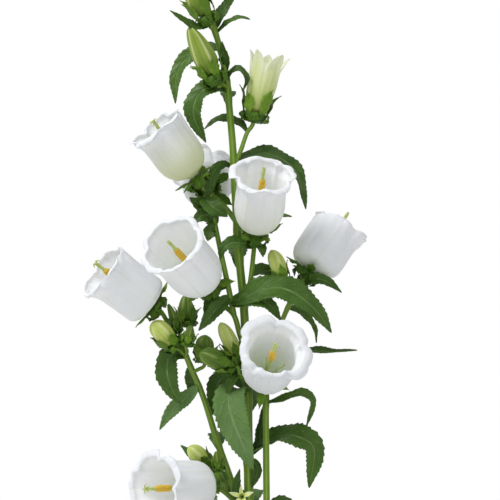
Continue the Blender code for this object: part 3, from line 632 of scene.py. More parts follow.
greenBuds = {
    "bud_low": ("stem_middle", (219, 465, -11), (216, 448, -15), 3.6),
    "bud_thin": ("stem_left", (177, 327, -6), (168, 302, -7), 3.2),
    "bud_small": ("stem_left", (188, 341, -15), (192, 323, -17), 4.0),
    "bud_shaded": ("stem_left", (204.5, 357, -2), (205, 333, -1), 6.4),
}
halfOpenCalyx = {"share": 0.7, "swell": 0.2}
bellCalyxDepth = 8.5
budCalyxDepth = 0.26
stalkLook = {
    "sides": 20, "ridge": 0.045, "spanSteps": 16, "nodeSwell": 0.16, "nodeSpan": 3.5 * mm,
    "shootSides": 12, "shootSpanSteps": 6, "shootStep": 2.2 * mm, "fewestSteps": 8,
    "shootBelow": 2 * mm, "shootInto": 0.55,   # where a shoot ends below and inside its calyx
}


def grownOn(stem):
    # what each shoot carries: base, axis, and how far below the base its calyx reaches
    found = {}
    for name, (grows, base, mouth, *rest) in {**bells, **halfOpen, **buds, **greenBuds}.items():
        if grows == stem:
            axis = at(mouth) - at(base)
            length = rest[1] * mm * halfOpenCalyx["share"] if name in halfOpen else axis.length
            depth = bellCalyxDepth * mm if name in bells else budCalyxDepth * length
            found[name] = at(base), axis.normalized(), depth
    return found


def taperedRadii(first, last, line):
    return [(first + (last - first) * step / (len(line) - 1)) * mm for step in range(len(line))]


def buildStalk(stem, leafRoots):
    bm = newMesh()
    route, first, last = stalks[stem]
    line = curveThrough([at(spot) for spot in route], stalkLook["spanSteps"])
    radii = taperedRadii(first, last, line)
    for step, spot in enumerate(line):
        swell = max((bump((spot - root).length, stalkLook["nodeSpan"]) for root in leafRoots), default=0)
        radii[step] *= 1 + stalkLook["nodeSwell"] * swell
    tubeOn(bm, line, radii, stalkLook["sides"], stalkLook["ridge"])
    carried = grownOn(stem)
    for name, route, first, last in shoots[stem]:
        base, axis, depth = carried[name]
        line = [*map(at, route), base - axis * (depth + stalkLook["shootBelow"]),
                base - axis * depth * stalkLook["shootInto"]]
        line = curveThrough(line, stalkLook["shootSpanSteps"])
        line = evenLine(line, max(stalkLook["fewestSteps"], int(lineLength(line) / stalkLook["shootStep"])))
        tubeOn(bm, line, taperedRadii(first, last, line), stalkLook["shootSides"], stalkLook["ridge"])
    bmesh.ops.recalc_face_normals(bm, faces=bm.faces)
    finishPiece(stem.replace("stem_", "stalk_"), bm, ["stalkGreen"], stem)


# leaves: midrib places, width in mm, turn at the base and at the tip; None is square to the camera's left
leaves = {
    "stem_middle": (
        ([(214, 30, 0), (220.5, 14, 4), (229, 0, 8), (238, -14, 12)], 8, -30, -30),
        ([(216.5, 32, 0), (228, 22.5, -3), (240, 18, -6), (250, 20, -9)], 6, -60, -60),
        ([(209, 26, -4), (196, 28, -15), (184, 22, -20), (171, 13, -21)], 6, 35, 35),
        ([(220, 50, 0), (207, 47, 7), (192, 53, 11), (181, 63, 11), (175, 79, 9), (175, 103, 6)], 11, 45, 20),
        ([(227, 91, 0), (216, 88, -5), (205, 90, -8), (196, 100, -8), (194, 117, -8),
          (206, 143, -8)], 13, 55, 0),
        ([(226, 80, 0), (233, 71, -7), (241, 71, -11), (247, 80, -12), (243, 92, -9)], 6, -55, -45),
        ([(247, 131, -1), (238, 122, 6), (228, 118, 9), (216, 119, 10), (204, 128, 10)], 8, 50, 50),
        ([(236, 160, 0), (250, 154.5, 5), (268, 153, 8), (286, 161, 8), (299, 177, 5),
          (306, 209, 0)], 14, -62, -45),
        ([(208, 197, -10), (211, 182, -11), (217, 168, -4), (226, 164, 3), (234, 170, 7)], 8, 30, 30),
        ([(208, 198, -10), (207, 200, -16), (213, 207, -20), (221, 212, -20),
          (228, 217, -18)], 12, None, None),
        ([(216, 225, -8), (210, 216, -13), (202, 216, -16), (193, 223, -17)], 11, 15, 15),
        ([(214, 216, -9), (204, 208, -13), (190, 198, -15)], 10, 20, 20),
        ([(217, 232, -8), (211, 231, -13), (208, 241, -14)], 9, 20, 10),
        ([(236, 232, 0), (252, 222, 10), (272, 215, 14), (292, 216, 10)], 9, -50, -50),
        ([(254.5, 246, -8.5), (260, 246, -15), (262.5, 250, -18), (263, 257, -18)], 7, None, None),
        ([(254.5, 246, -8.5), (243, 243, -15), (231, 243, -17), (223, 249, -17), (220, 260, -15)], 9, 35, 20),
        ([(231, 301, -7.5), (245, 297, -13), (262, 289, -17), (283, 288, -19), (302, 298, -19),
          (318, 313, -17), (331, 332, -14)], 18, -38, -20),
        ([(232, 304, -7.5), (245, 300, -14), (258, 299, -17), (270, 305, -17),
          (281, 320, -14)], 11, -35, -25),
        ([(251.5, 275, -8), (257, 272, -3), (264, 270, 1), (272, 276, 3), (278, 287, 3)], 10, -40, -30),
        ([(248, 456, 0), (258, 449, 3), (270, 440, 5), (284, 435, 2), (300, 437, -5), (314, 449, -8),
          (309, 487, -7)], 18, -88, 5),
        ([(248, 458, 0), (257, 447, 4), (261.5, 425, 5), (264, 403, 5)], 7, -50, -40),
        ([(247, 396, 0), (238, 388, -9), (230, 396, -16), (233, 418, -19), (253, 468, -13)], 21, None, None),
        ([(246, 388, 2), (232, 377, 9), (220, 381, 14), (214, 395, 15), (211, 418, 14)], 13, 30, 0),
        ([(230, 296, -7), (221, 304, -12), (211, 315, -15), (199, 330, -16)], 10, 20, 20),
        ([(228, 286, -7), (218, 288, -3), (210, 298, 0), (204, 315, 0)], 8, 30, 10),
        ([(243, 370, -7), (234, 376, -13), (229, 386, -15), (228, 397, -15)], 6, None, None),
        ([(248.5, 462, 0), (255, 463, -4), (257, 472, -5), (252, 487, -4)], 6, -20, 0),
        ([(226, 493, 0), (218, 481, 10), (203, 466, 16), (180, 447, 16)], 11, None, None),
        ([(240, 510, 1), (238, 497, -6), (236, 483, -9), (240, 468, -10)], 8, 30, 30),
        ([(250, 548, 0), (262, 532, 8), (281, 533, 14), (300, 556, 15)], 15, -60, -40),
        ([(250, 540, 0), (236, 528, -12), (214, 531, -20), (196, 551, -22)], 15, 55, 35),
        ([(239, 258, 0), (238, 248, 14), (237, 252, 28), (236, 268, 38)], 12, None, None),
        ([(248, 400, 0), (250, 388, 18), (252, 394, 38), (252, 416, 52)], 16, None, None),
        ([(228, 98, 0), (228, 90, 12), (227, 92, 25), (226, 102, 34)], 10, None, None),
        ([(225.5, 71, 0), (225.5, 60, -4), (223, 51, -5), (222, 42, -6)], 6, -20, -20),
        ([(249, 505, 0), (250, 492, 16), (252, 497, 34), (253, 516, 46)], 16, None, None),
    ),
    "stem_left": (
        ([(186, 356, -2.5), (177, 353, -3), (169, 358, -2), (167, 371, -3), (171, 387, -3),
          (181, 404, -2)], 15, 30, 0),
        ([(198, 386, -1), (189, 396, 6), (178, 405, 10), (168, 416, 10), (159, 431, 9)], 10, 20, 10),
        ([(191, 366, -2), (190, 375, 3), (191, 387, 5), (194, 399, 5)], 7, 20, 20),
        ([(236, 500, 13), (226, 486, 20), (213, 484, 28), (203, 496, 36)], 13, 50, 40),
        ([(218, 446, 9), (217, 435, 22), (216, 439, 35), (215, 453, 44)], 12, None, None),
    ),
    "stem_right": (
        ([(269, 365, 3), (284, 361, 7), (300, 356, 4), (313, 350.5, 0), (333, 351, -3),
          (357, 349.5, -4)], 8, -55, -65),
        ([(266, 402, -6), (280, 398.5, -10), (292, 394, -12), (303, 392, -12), (312.5, 401, -10),
          (306, 427, -7)], 7, -60, -35),
        ([(288, 308, 4), (298, 310, 9), (308, 318, 10), (315, 329, 7), (317, 343, 4)], 6, -30, -60),
        ([(266.5, 520, -8), (276, 507, 2), (291, 508, 12), (306, 522, 16)], 13, -55, -40),
        ([(276, 338, 4), (279, 328, 18), (283, 332, 32), (286, 346, 41)], 12, None, None),
        ([(300, 287, 2), (310, 279, -8), (326, 281, -14), (341, 292, -17)], 8, -20, -30),
    ),
}
# leaves that show their paler underside, by stem and place in the list
turnedOver = {("stem_middle", 21), ("stem_left", 1)}
leafLook = {
    "spanSteps": 8, "step": 0.85 * mm, "fewestRows": 26, "columns": 10, "thickness": 0.42 * mm,
    "toothEvery": 3.6 * mm, "fewestTeeth": 5, "toothDepth": 0.15, "fold": 0.24, "waves": 3.2,
    "waveHeight": 0.14, "quilt": 0.35 * mm, "sideVeins": 8.0, "slant": 1.7, "ribDent": 0.35 * mm,
    "ribPoints": 15, "ribSides": 8, "ribBelow": 0.75 * mm, "ribAbove": 0.55 * mm,
    "ribStart": 0.30, "ribPerWidth": 0.035, "ribEnd": 0.12,
}


def halfWidth(share):
    # a leaf's outline from its stalk to its point, in shares of its width
    return 0.5 * (0.22 * (1 - share) + 0.97 * math.sin(math.pi * share ** 0.85) ** 0.85 + 0.03)


def bladeSide(tangent, turns, share):
    # the blade's own sideways direction
    if turns[0] is None:
        return (Vector((1, 0, 0)) - tangent * tangent.x).normalized()
    turn = math.radians(turns[0] + (turns[1] - turns[0]) * share)
    return Matrix.Rotation(turn, 3, tangent) @ tangent.cross(Vector((0, 1, 0))).normalized()


def growLeaf(bm, line, width, turns, chance, over):
    length = lineLength(line)
    rows = max(leafLook["fewestRows"], int(length / leafLook["step"]))
    line = evenLine(line, rows + 1)
    teeth = max(leafLook["fewestTeeth"], round(length / leafLook["toothEvery"]))
    start = chance.random()
    flip = -1 if over else 1
    verts = gridOn(bm, rows, leafLook["columns"])
    for vert in verts:
        step, across, edge = bladePlace(vert, rows)
        share = step / rows
        tangent = directionAt(line, step)
        side = bladeSide(tangent, turns, share)
        phase = (share * teeth + (0.4 if across > 0 else 0)) % 1
        tooth = leafLook["toothDepth"] * (phase ** 1.4 - 0.45) * soft(0.10, 0.25, share)
        reach = halfWidth(share) * width * mm * (1 + tooth * edge ** 4)
        wave = math.sin((share * leafLook["waves"] + start + (0.5 if across > 0 else 0)) * fullTurn)
        climb = (share * leafLook["sideVeins"] - edge ** 0.8 * leafLook["slant"]) % 1
        relief = -math.cos((climb - 0.5) * fullTurn) * leafLook["quilt"] * soft(0.1, 0.4, edge)
        relief = relief * (1 - edge ** 4) - bump(across, 0.10) * leafLook["ribDent"]
        lift = (edge ** 1.25 * leafLook["fold"] + wave * edge ** 2 * leafLook["waveHeight"]) * reach
        lift += relief * soft(0, 0.15, share) * (1 - soft(0.85, 1, share))
        vert.co = line[step] + side * across * reach * flip + tangent.cross(side) * lift
    toneOn(bm, verts, chance.uniform(0.0, 0.55))
    return line


def addMidrib(bm, line, width, turns, over):
    # the raised rib on a leaf's underside, which thickens into the leaf stalk
    picked = evenLine(line, leafLook["ribPoints"])
    sunk = leafLook["ribAbove"] if over else leafLook["ribBelow"]
    thick = leafLook["ribStart"] + width * leafLook["ribPerWidth"]
    rib = []
    radii = []
    for step, spot in enumerate(picked):
        tangent = directionAt(picked, step)
        share = step / (len(picked) - 1)
        rib.append(spot - tangent.cross(bladeSide(tangent, turns, share)) * sunk)
        radii.append((thick * (1 - share) ** 0.7 + leafLook["ribEnd"]) * mm)
    tubeOn(bm, rib, radii, leafLook["ribSides"])


def buildLeaves(stem):
    bm = newMesh()
    ribs = newMesh()
    for index, (route, width, *turns) in enumerate(leaves[stem]):
        chance = seeded(f"{stem} leaf {index}")
        line = curveThrough([at(spot) for spot in route], leafLook["spanSteps"])
        over = (stem, index) in turnedOver
        line = growLeaf(bm, line, width, turns, chance, over)
        addMidrib(ribs, line, width, turns, over)
    finishPiece(stem.replace("stem_", "leaves_"), bm, ["leafTop", "leafUnder"], stem,
                leafLook["thickness"], -1, 1)
    bmesh.ops.recalc_face_normals(ribs, faces=ribs.faces)
    finishPiece(stem.replace("stem_", "midribs_"), ribs, ["leafUnder"], stem)


for stem in stalks:
    buildStalk(stem, [at(route[0]) for route, *rest in leaves[stem]])
    buildLeaves(stem)
print("stalks and leaves done")


# calyces: a sepal's reach and lift are ranges, in mm on a bell and in shares of the bud on a bud
bellSepal = {
    "reach": (15, 24), "lift": (-5, 3.5), "width": 6.6, "curl": 1.0, "foot": ((3.5, -4.5), (6.6, -2.2)),
    "flapWidth": 6.4, "flapCurl": -0.6, "flapLean": (-0.16, 0.16),
    "cup": ((1.9, -8.6), (3.6, -7.6), (5.4, -5.6), (6.2, -3.4), (5.9, -1.6), (4.7, -0.45)),
    "flap": ((5.6, -1.6), (8.0, -2.9), (9.0, -5.2), (8.4, -7.8), (6.9, -9.2)),
}
budSepal = {
    "reach": (1.3, 1.75), "lift": (0.42, 0.62), "width": 0.86, "extraWidth": 1.4, "curl": -0.6,
    "shorter": {"bud_long": 0.62}, "flapWidth": 0.9,
    "cup": ((0.26, -0.26), (0.62, -0.22), (0.92, -0.13), (1.02, -0.04)), "cupTop": (0.80, -0.40),
    "flap": ((0.95, -0.02), (1.16, -0.08), (0.98, -0.18), (0.62, -0.25)),
}
sepalLook = {"rows": 26, "columns": 6, "spanSteps": 6, "teeth": 5, "tooth": 0.24, "drift": 0.18,
             "thickness": 0.4 * mm, "ribDent": 0.25 * mm}
cupLook = {"sides": 30, "lobes": 0.07, "knobs": 0.03, "tone": 0.15}


def growSepal(bm, matrix, points, angle, width, chance, curl, tone):
    # a narrow toothed blade in the upright plane at an angle round the flower's axis
    out = Vector((math.cos(angle), math.sin(angle), 0))
    beside = Vector((-math.sin(angle), math.cos(angle), 0))
    drift = chance.uniform(-sepalLook["drift"], sepalLook["drift"])
    line = [out * r + beside * drift * max(r - points[1][0], 0) + Vector((0, 0, h)) for r, h in points]
    rows = sepalLook["rows"]
    line = evenLine(curveThrough([spot * mm for spot in line], sepalLook["spanSteps"]), rows + 1)
    start = chance.random()
    verts = gridOn(bm, rows, sepalLook["columns"])
    for vert in verts:
        step, across, edge = bladePlace(vert, rows)
        share = step / rows
        up = directionAt(line, step).cross(beside).normalized()
        # widest just past the middle, then a long point
        reach = 0.5 * width * mm * (0.46 + 0.54 * bump(share - 0.56, 0.27))
        reach *= 1 - 0.94 * soft(0.66, 1.0, share) ** 1.3
        phase = (share * sepalLook["teeth"] + (0.5 if across > 0 else 0) + start) % 1
        reach *= 1 + sepalLook["tooth"] * (phase - 0.4) * edge ** 3
        wave = math.sin((share * 2.4 + start + across * 0.3) * fullTurn)
        lift = (edge ** 1.4 * 0.30 * curl + wave * edge ** 2 * 0.16) * reach
        lift -= bump(across, 0.2) * sepalLook["ribDent"]
        vert.co = line[step] + beside * across * reach - up * lift
    bmesh.ops.transform(bm, matrix=matrix, verts=verts)
    toneOn(bm, verts, tone)


def growCup(bm, matrix, rings):
    # the knobbly body that the sepals stand on, as (radius, height) rings in mm, closed at both ends
    rows = len(rings) - 1
    verts = gridOn(bm, cupLook["sides"], rows)
    for vert in verts:
        angle, up = roundPlace(vert)
        radius, height = rings[round(up * rows)]
        radius *= (1 + cupLook["lobes"] * math.cos(lobeCount * angle)
                   + cupLook["knobs"] * math.cos(3 * lobeCount * angle))
        vert.co = roundSpot(radius, angle, height) * mm
    bmesh.ops.transform(bm, matrix=matrix, verts=verts)
    toneOn(bm, verts, cupLook["tone"])
    closeEnds(bm, verts)


def sepalTips(look, chance):
    return [(chance.uniform(*look["reach"]), chance.uniform(*look["lift"])) for _ in range(lobeCount)]


def growBellCalyx(blades, cups, name, matrix):
    chance = seeded(f"{name}_calyx")
    growCup(cups, matrix, bellSepal["cup"])
    for index, (reach, lift) in enumerate(sepalTips(bellSepal, chance)):
        points = [*bellSepal["foot"], (reach * 0.55, -0.6 + lift * 0.25), (reach * 0.85, lift * 0.8),
                  (reach, lift)]
        growSepal(blades, matrix, points, lobeAngle(index), bellSepal["width"], chance, bellSepal["curl"],
                  chance.uniform(0.1, 0.9))
        for lean in bellSepal["flapLean"]:   # the folded-back lobe between two sepals is two ruffled flaps
            growSepal(blades, matrix, bellSepal["flap"], lobeAngle(index + 0.5) + lean,
                      bellSepal["flapWidth"], chance, bellSepal["flapCurl"], chance.uniform(0.0, 0.5))


def growBudCalyx(blades, cups, name, matrix, length, radius):
    chance = seeded(f"{name}_calyx")
    wide = radius / mm
    tall = length / mm
    tips = sepalTips(budSepal, chance)
    top, sunk = budSepal["cupTop"]
    growCup(cups, matrix, [*((r * wide, h * tall) for r, h in budSepal["cup"]), (top * wide, sunk)])
    flap = [(r * wide, h * tall) for r, h in budSepal["flap"]]
    for index, (share, lift) in enumerate(tips):
        lift *= budSepal["shorter"].get(name, 1.0)
        points = [(0.7 * wide, -0.14 * tall), (1.08 * wide + 0.3, 0.02 * tall),
                  (1.16 * wide + 0.5, 0.20 * tall), (0.5 * (1.2 + share) * wide + 0.4, 0.75 * lift * tall),
                  (share * wide + 1.2, 0.94 * lift * tall)]
        growSepal(blades, matrix, points, lobeAngle(index), budSepal["width"] * wide + budSepal["extraWidth"],
                  chance, budSepal["curl"], chance.uniform(0.2, 1.0))
        growSepal(blades, matrix, flap, lobeAngle(index + 0.5), budSepal["flapWidth"] * wide, chance,
                  budSepal["curl"], chance.uniform(0.1, 0.6))


def buildCalyces(stem):
    blades = newMesh()
    cups = newMesh()
    for name, (grows, base, mouth, turn, *sizes) in bells.items():
        if grows == stem:
            growBellCalyx(blades, cups, name, flowerFrame(at(base), at(mouth), turn))
    for name, (grows, base, mouth, turn, length) in halfOpen.items():
        if grows == stem:
            growBudCalyx(blades, cups, name, flowerFrame(at(base), at(mouth), turn),
                         halfOpenCalyx["share"] * length * mm, halfOpenCalyx["swell"] * length * mm)
    for name, (grows, base, tip, radius) in {**buds, **greenBuds}.items():
        if grows == stem:
            growBudCalyx(blades, cups, name, flowerFrame(at(base), at(tip), 0),
                         (at(tip) - at(base)).length, radius * mm)
    finishPiece(stem.replace("stem_", "sepals_"), blades, ["calyxGreen"], stem,
                sepalLook["thickness"], 0)
    bmesh.ops.recalc_face_normals(cups, faces=cups.faces)
    finishPiece(stem.replace("stem_", "calyxCups_"), cups, ["calyxGreen"], stem)


for stem in stalks:
    buildCalyces(stem)
print("calyces done")


# bells: the tube, then the petals' ribs, grooves and rims, in mm
bellLook = {
    "around": 150, "rings": 70, "profilePoints": 241, "thickness": 0.45 * mm, "notch": 0.18, "top": 0.94,
    "rib": 0.40, "groove": 0.9, "crease": 0.8, "ruffle": 1.1, "uneven": 0.8, "scallop": 2.2,
    "leastRoll": 0.9, "rollSteps": 8, "rollFrom": 115, "curls": (0.90, 1.0),
}
bellColours = {"bell_high": "petalCream", "bell_upper": "petalWarm"}
# the rim's roll radius in mm, how far round it rolls in degrees, how square the tube's foot is, how deep its
# scallops are, how far each petal leans out in mm, how much longer or shorter than the others it is in mm,
# and how wide the throat is next to the tube
bellForms = {
    "bell_high": (2.6, 150, -0.3, 0.5, (0.3, -1.2, 1.4, 2.4, 1.8), (0, 0.6, 2.6, 1.8, 0), 1.0),
    "bell_back": (2.6, 150, 0.5, 0.7, (0.5, 1.0, 0.2, 0.8, 0.0), (0, 0.5, 0, 0.8, 0), 1.0),
    "bell_upper": (3.2, 175, -0.3, 0.65, (1.4, -0.4, 0.6, 0.4, 0.2), (0, 0.4, 0, 0.6, 0), 0.97),
    "bell_large": (2.9, 170, 0.3, 0.35, (0.4, -0.2, 0.8, 0.0, 0.4), (0, 0, 0.8, 0, 0.6), 1.0),
    "bell_left": (2.5, 150, 1.0, 0.5, (-0.4, -0.6, 0.0, 1.8, 1.9), (0, 1.8, 1.6, 1.2, 0), 1.0),
    "bell_outer": (2.6, 100, 0.7, 0.35, (0.4, -1.6, -0.4, 1.6, 2.6), (0, -3.2, -1.2, 0.5, 1.2), 1.0),
    "bell_front": (4.2, 190, 0.4, 0.6, (0.4, 1.6, -2.4, -3.4, 1.0), (0, 0.8, 2.2, 3.0, 0), 0.89),
    "bell_low": (3.4, 175, 0.9, 0.6, (0.8, 0.2, 1.2, -0.3, 0.6), (-1.5, -1.5, -0.5, -1.5, -0.8), 1.0),
}


def bellProfile(length, tube, rim, shoulder, roll, turned, square, throat):
    # in mm, from the ring on the calyx up the tube and over the rim, which rolls outwards
    neck = tube * throat
    roll = max(min(roll, (rim - 1.05 * neck) / 1.42), bellLook["leastRoll"])
    top = bellLook["top"] * length
    middle = rim - roll
    points = [(0.075 * length, 0.2), ((0.36 + 0.14 * square) * tube, (0.09 - 0.04 * square) * shoulder),
              ((0.70 + 0.14 * square) * tube, 0.27 * shoulder),
              ((0.91 + 0.05 * square) * tube, 0.60 * shoulder),
              (tube, shoulder), (1.01 * tube, (shoulder + 0.66 * length) / 2),
              (1.01 * (tube + neck) / 2, 0.66 * length), (1.03 * neck, 0.77 * length),
              (1.04 * neck + 0.42 * max(middle - neck, 0), 0.865 * length)]
    for step in range(bellLook["rollSteps"]):
        bend = math.radians(bellLook["rollFrom"] - turned * step / (bellLook["rollSteps"] - 1))
        points.append((middle + roll * math.cos(bend), top - roll + roll * math.sin(bend)))
    return points


def buildBell(name):
    stem, base, mouth, turn, length, tube, rim, styleLength, share = bells[name]
    chance = seeded(f"{name} petals")
    shift = chance.uniform(0, 50)
    curls = [chance.uniform(*bellLook["curls"]) for _ in range(lobeCount)]
    roll, turned, square, scallop, spreads, longer, throat = bellForms[name]
    line = profileLine(bellProfile(length, tube, rim, share * length, roll, turned, square, throat),
                       bellLook["profilePoints"])
    bm = newMesh()
    verts = gridOn(bm, bellLook["around"], bellLook["rings"])
    for vert in verts:
        angle, up = roundPlace(vert)
        petal = angle * lobeCount / fullTurn
        local = (petal + 0.5) % 1 - 0.5   # 0 at a petal's middle, 0.5 where two meet
        index = round(petal) % lobeCount
        lobe = abs(math.cos(math.pi * local))
        held = soft(0, 0.5, lobe)
        brim = soft(0.74, 0.95, up)
        body = soft(0.05, 0.25, up) * (1 - soft(0.80, 0.92, up))
        reach = up * (1 - bellLook["notch"] * scallop * (1 - lobe) ** 1.7)
        spot = onLine(line, reach * (1 - (1 - curls[index]) * held * soft(0.7, 1, up)))
        radius, height = spot.x, spot.y + longer[index] * held * soft(0.6, 0.95, up)
        # a rib up each petal with a fainter one either side of it, and a groove where two petals meet
        radius += bellLook["rib"] * (bump(local, 0.035) + 0.45 * bump(abs(local) - 0.24, 0.05)) * body
        radius -= bellLook["groove"] * bump(abs(local) - 0.5, 0.075) * soft(0.15, 0.6, up)
        radius -= bellLook["crease"] * bump(local, 0.055) * soft(0.84, 0.96, up)
        radius += spreads[index] * held * soft(0.72, 0.95, up)
        radius += bellLook["scallop"] * scallop * (lobe - 0.7) * brim
        ring = roundSpot(1, angle, 0)
        radius += bellLook["ruffle"] * brim * noise.noise(ring * 3.8 + Vector((shift, 0, up)))
        height += bellLook["ruffle"] * brim * noise.noise(ring * 4.2 + Vector((0, shift, up)))
        swing = noise.noise(ring * 1.4 + Vector((0, 0, up * 2.4 + shift)))
        radius += bellLook["uneven"] * soft(0.1, 0.4, up) * swing
        vert.co = (ring * radius + Vector((0, 0, height))) * mm
    bmesh.ops.transform(bm, matrix=flowerFrame(at(base), at(mouth), turn), verts=verts)
    bmesh.ops.remove_doubles(bm, verts=bm.verts, dist=mergeWithin)
    finishPiece("corolla_" + name, bm, [bellColours.get(name, "petalWhite"), "petalInside"], name,
                bellLook["thickness"], -1, 1)


for name in bells:
    buildBell(name)
print("bells done")


openingLook = {"around": 120, "rings": 50, "profilePoints": 241, "thickness": 0.45 * mm, "uneven": 0.5 * mm}
# half-open bells: profile in shares of the length, how deep and how rounded the cuts between the lobes are,
# rib, groove, how far each lobe leans, and the colour inside
openingForms = {
    "bell_opening": (((0.075, 0.004), (0.150, 0.04), (0.195, 0.12), (0.222, 0.28), (0.236, 0.45),
                      (0.244, 0.62), (0.258, 0.78), (0.285, 0.91), (0.318, 0.985)), (0.24, 1.35), 0.05, 0.05,
                     (0.02, 0.0, 0.01, 0.06, 0.05), "petalPaleInside"),
    "bud_star": (((0.075, 0.004), (0.14, 0.06), (0.17, 0.25), (0.16, 0.45), (0.19, 0.60), (0.31, 0.75),
                  (0.48, 0.88), (0.58, 0.97)), (0.50, 0.85), 0.04, 0.0, (0.04, -0.06, 0.0, 0.04, -0.04),
                 "starInside"),
}


def buildOpening(name):
    stem, base, mouth, turn, length = halfOpen[name]
    length *= mm
    shift = seeded(f"{name} petals").uniform(0, 50)
    profile, notch, rib, groove, bends, inside = openingForms[name]
    line = profileLine([(r * length, h * length) for r, h in profile], openingLook["profilePoints"])
    bm = newMesh()
    verts = gridOn(bm, openingLook["around"], openingLook["rings"])
    for vert in verts:
        angle, share = roundPlace(vert)
        petal = angle * lobeCount / fullTurn
        local = (petal + 0.5) % 1 - 0.5
        spot = onLine(line, share * (1 - notch[0] * (2 * abs(local)) ** notch[1]))
        radius = spot.x * (1 + rib * bump(local, 0.10) * soft(0.1, 0.5, share))
        radius *= 1 - groove * bump(abs(local) - 0.5, 0.12) * soft(0.1, 0.6, share)
        lobe = abs(math.cos(math.pi * petal))
        radius += bends[round(petal) % lobeCount] * length * soft(0.78, 1.0, share) * lobe
        place = Vector((math.cos(angle) * 2 + shift, math.sin(angle) * 2, share * 3))
        radius += openingLook["uneven"] * noise.noise(place)
        vert.co = roundSpot(radius, angle, spot.y)
    bmesh.ops.transform(bm, matrix=flowerFrame(at(base), at(mouth), turn), verts=verts)
    bmesh.ops.remove_doubles(bm, verts=bm.verts, dist=mergeWithin)
    finishPiece("petals_" + name, bm, ["petalPale", inside], name,
                openingLook["thickness"], -1, 1)


for name in halfOpen:
    buildOpening(name)


# closed buds: profiles are height and radius in shares; a blunt bud's number says how much fuller it is
budLook = {
    "around": 80, "rings": 36, "profilePoints": 101, "twist": 24, "pleat": 0.24, "uneven": 0.03, "sink": 1.2,
    "tapered": ((0.0, 0.52), (0.06, 0.74), (0.18, 0.95), (0.32, 1.0), (0.50, 0.92), (0.70, 0.74),
                (0.86, 0.52), (0.955, 0.30), (1.0, 0.03)),
    "blunt": ((0.0, 0.50), (0.06, 0.72), (0.18, 0.92), (0.36, 1.0), (0.58, 1.0), (0.76, 0.88), (0.89, 0.62),
              (0.965, 0.32), (1.0, 0.03)),
    "bluntOnes": {"bud_plump": 1.0, "bud_slim": 1.2, "bud_green": 1.05, "bud_pale": 1.1, "bud_right": 1.2,
                  "bud_shaded": 1.0},
}
budColours = {"bud_green": "budDark", "bud_leafy": "budDark", "bud_plump": "budPale", "bud_slim": "budPale",
              "bud_pale": "budPale", "bud_right": "budPale"}


def growBud(bm, name, base, tip, radius, sink=0.0):
    matrix = flowerFrame(at(base), at(tip), 0) @ Matrix.Translation((0, 0, -sink * mm))
    length = (at(tip) - at(base)).length
    fuller = budLook["bluntOnes"].get(name)
    shape = budLook["blunt"] if fuller else budLook["tapered"]
    radius *= (fuller or 1) * mm
    shape = profileLine([(h * length, swell * radius) for h, swell in shape], budLook["profilePoints"])
    shift = seeded(f"{name} bud").uniform(0, 50)
    verts = gridOn(bm, budLook["around"], budLook["rings"])
    for vert in verts:
        angle, share = roundPlace(vert)
        spot = onLine(shape, share)
        ridge = abs(math.cos(0.5 * lobeCount * angle)) ** 0.7
        wide = spot.y * (1 + budLook["pleat"] * (ridge - 0.62) * soft(0.0, 0.3, share))
        place = Vector((math.cos(angle) + shift, math.sin(angle), share * 3))
        wide *= 1 + budLook["uneven"] * noise.noise(place)
        vert.co = roundSpot(wide, angle + math.radians(budLook["twist"]) * share ** 2, spot.x)
    bmesh.ops.transform(bm, matrix=matrix, verts=verts)
    closeEnds(bm, verts)


def buildBuds(pieceName, rows, colour, node, sink=0.0):
    bm = newMesh()
    for name, (grows, base, tip, radius) in rows.items():
        growBud(bm, name, base, tip, radius, sink)
    bmesh.ops.recalc_face_normals(bm, faces=bm.faces)
    finishPiece(pieceName, bm, [colour], node)


for name, row in buds.items():
    buildBuds("pleats_" + name, {name: row}, budColours.get(name, "budGreen"), name)
for stem in stalks:
    small = {name: row for name, row in greenBuds.items() if row[0] == stem}
    if small:
        buildBuds(stem.replace("stem_", "greenBuds_"), small, "budDark", stem, budLook["sink"])
print("buds done")


# styles: the shaft is height in shares and radius in mm, and the pollen lies between two heights
styleLook = {
    "shaft": ((0, 1.5), (0.06, 1.15), (0.16, 1.0), (0.50, 1.1), (0.54, 1.7), (0.58, 2.25), (0.68, 2.35),
              (0.77, 2.1), (0.80, 1.5), (0.83, 1.2), (0.93, 1.2), (0.95, 1.1)),
    "points": 110, "sides": 24, "pollen": (0.545, 0.80), "fuzz": 0.55 * mm, "fuzzScales": (1300, 3100),
}
stigmaLook = {"points": 10, "sides": 8, "thick": 0.5, "taper": 0.4, "height": 0.95, "start": 0.4, "sink": 0.8,
              "stray": 0.15, "bend": (3.2, 3.5)}
filamentLook = {"points": 24, "sides": 6, "thick": 0.65, "reach": (10.5, 15), "start": 2.4, "foot": 1.8,
                "stray": 0.2}
# how far the five stigma lobes curl back, and their length in mm
stigmas = {
    "bell_left": (1.0, 4.6), "bell_low": (1.0, 4.4), "bell_front": (1.1, 4.6), "bell_large": (0.35, 2.4),
    "bell_upper": (0.25, 2.4), "bell_high": (0.8, 3.4), "bell_outer": (0.12, 2.2), "bell_back": (0.5, 3.0),
}


def growStigmas(bm, tip, curl, length, chance):
    look = stigmaLook
    for index in range(lobeCount):
        angle = lobeAngle(index + chance.uniform(-look["stray"], look["stray"]))
        points = []
        radii = []
        for step in range(look["points"]):
            share = step / (look["points"] - 1)
            bend = share * curl * chance.uniform(*look["bend"])
            out = look["start"] + length * share * (1 - math.cos(bend)) / max(bend, 0.001)
            rise = length * share * math.sin(bend) / max(bend, 0.001)
            points.append(roundSpot(out, angle, tip - look["sink"] + rise) * mm)
            radii.append(look["thick"] * mm * (1 - look["taper"] * share))
        tubeOn(bm, points, radii, look["sides"])


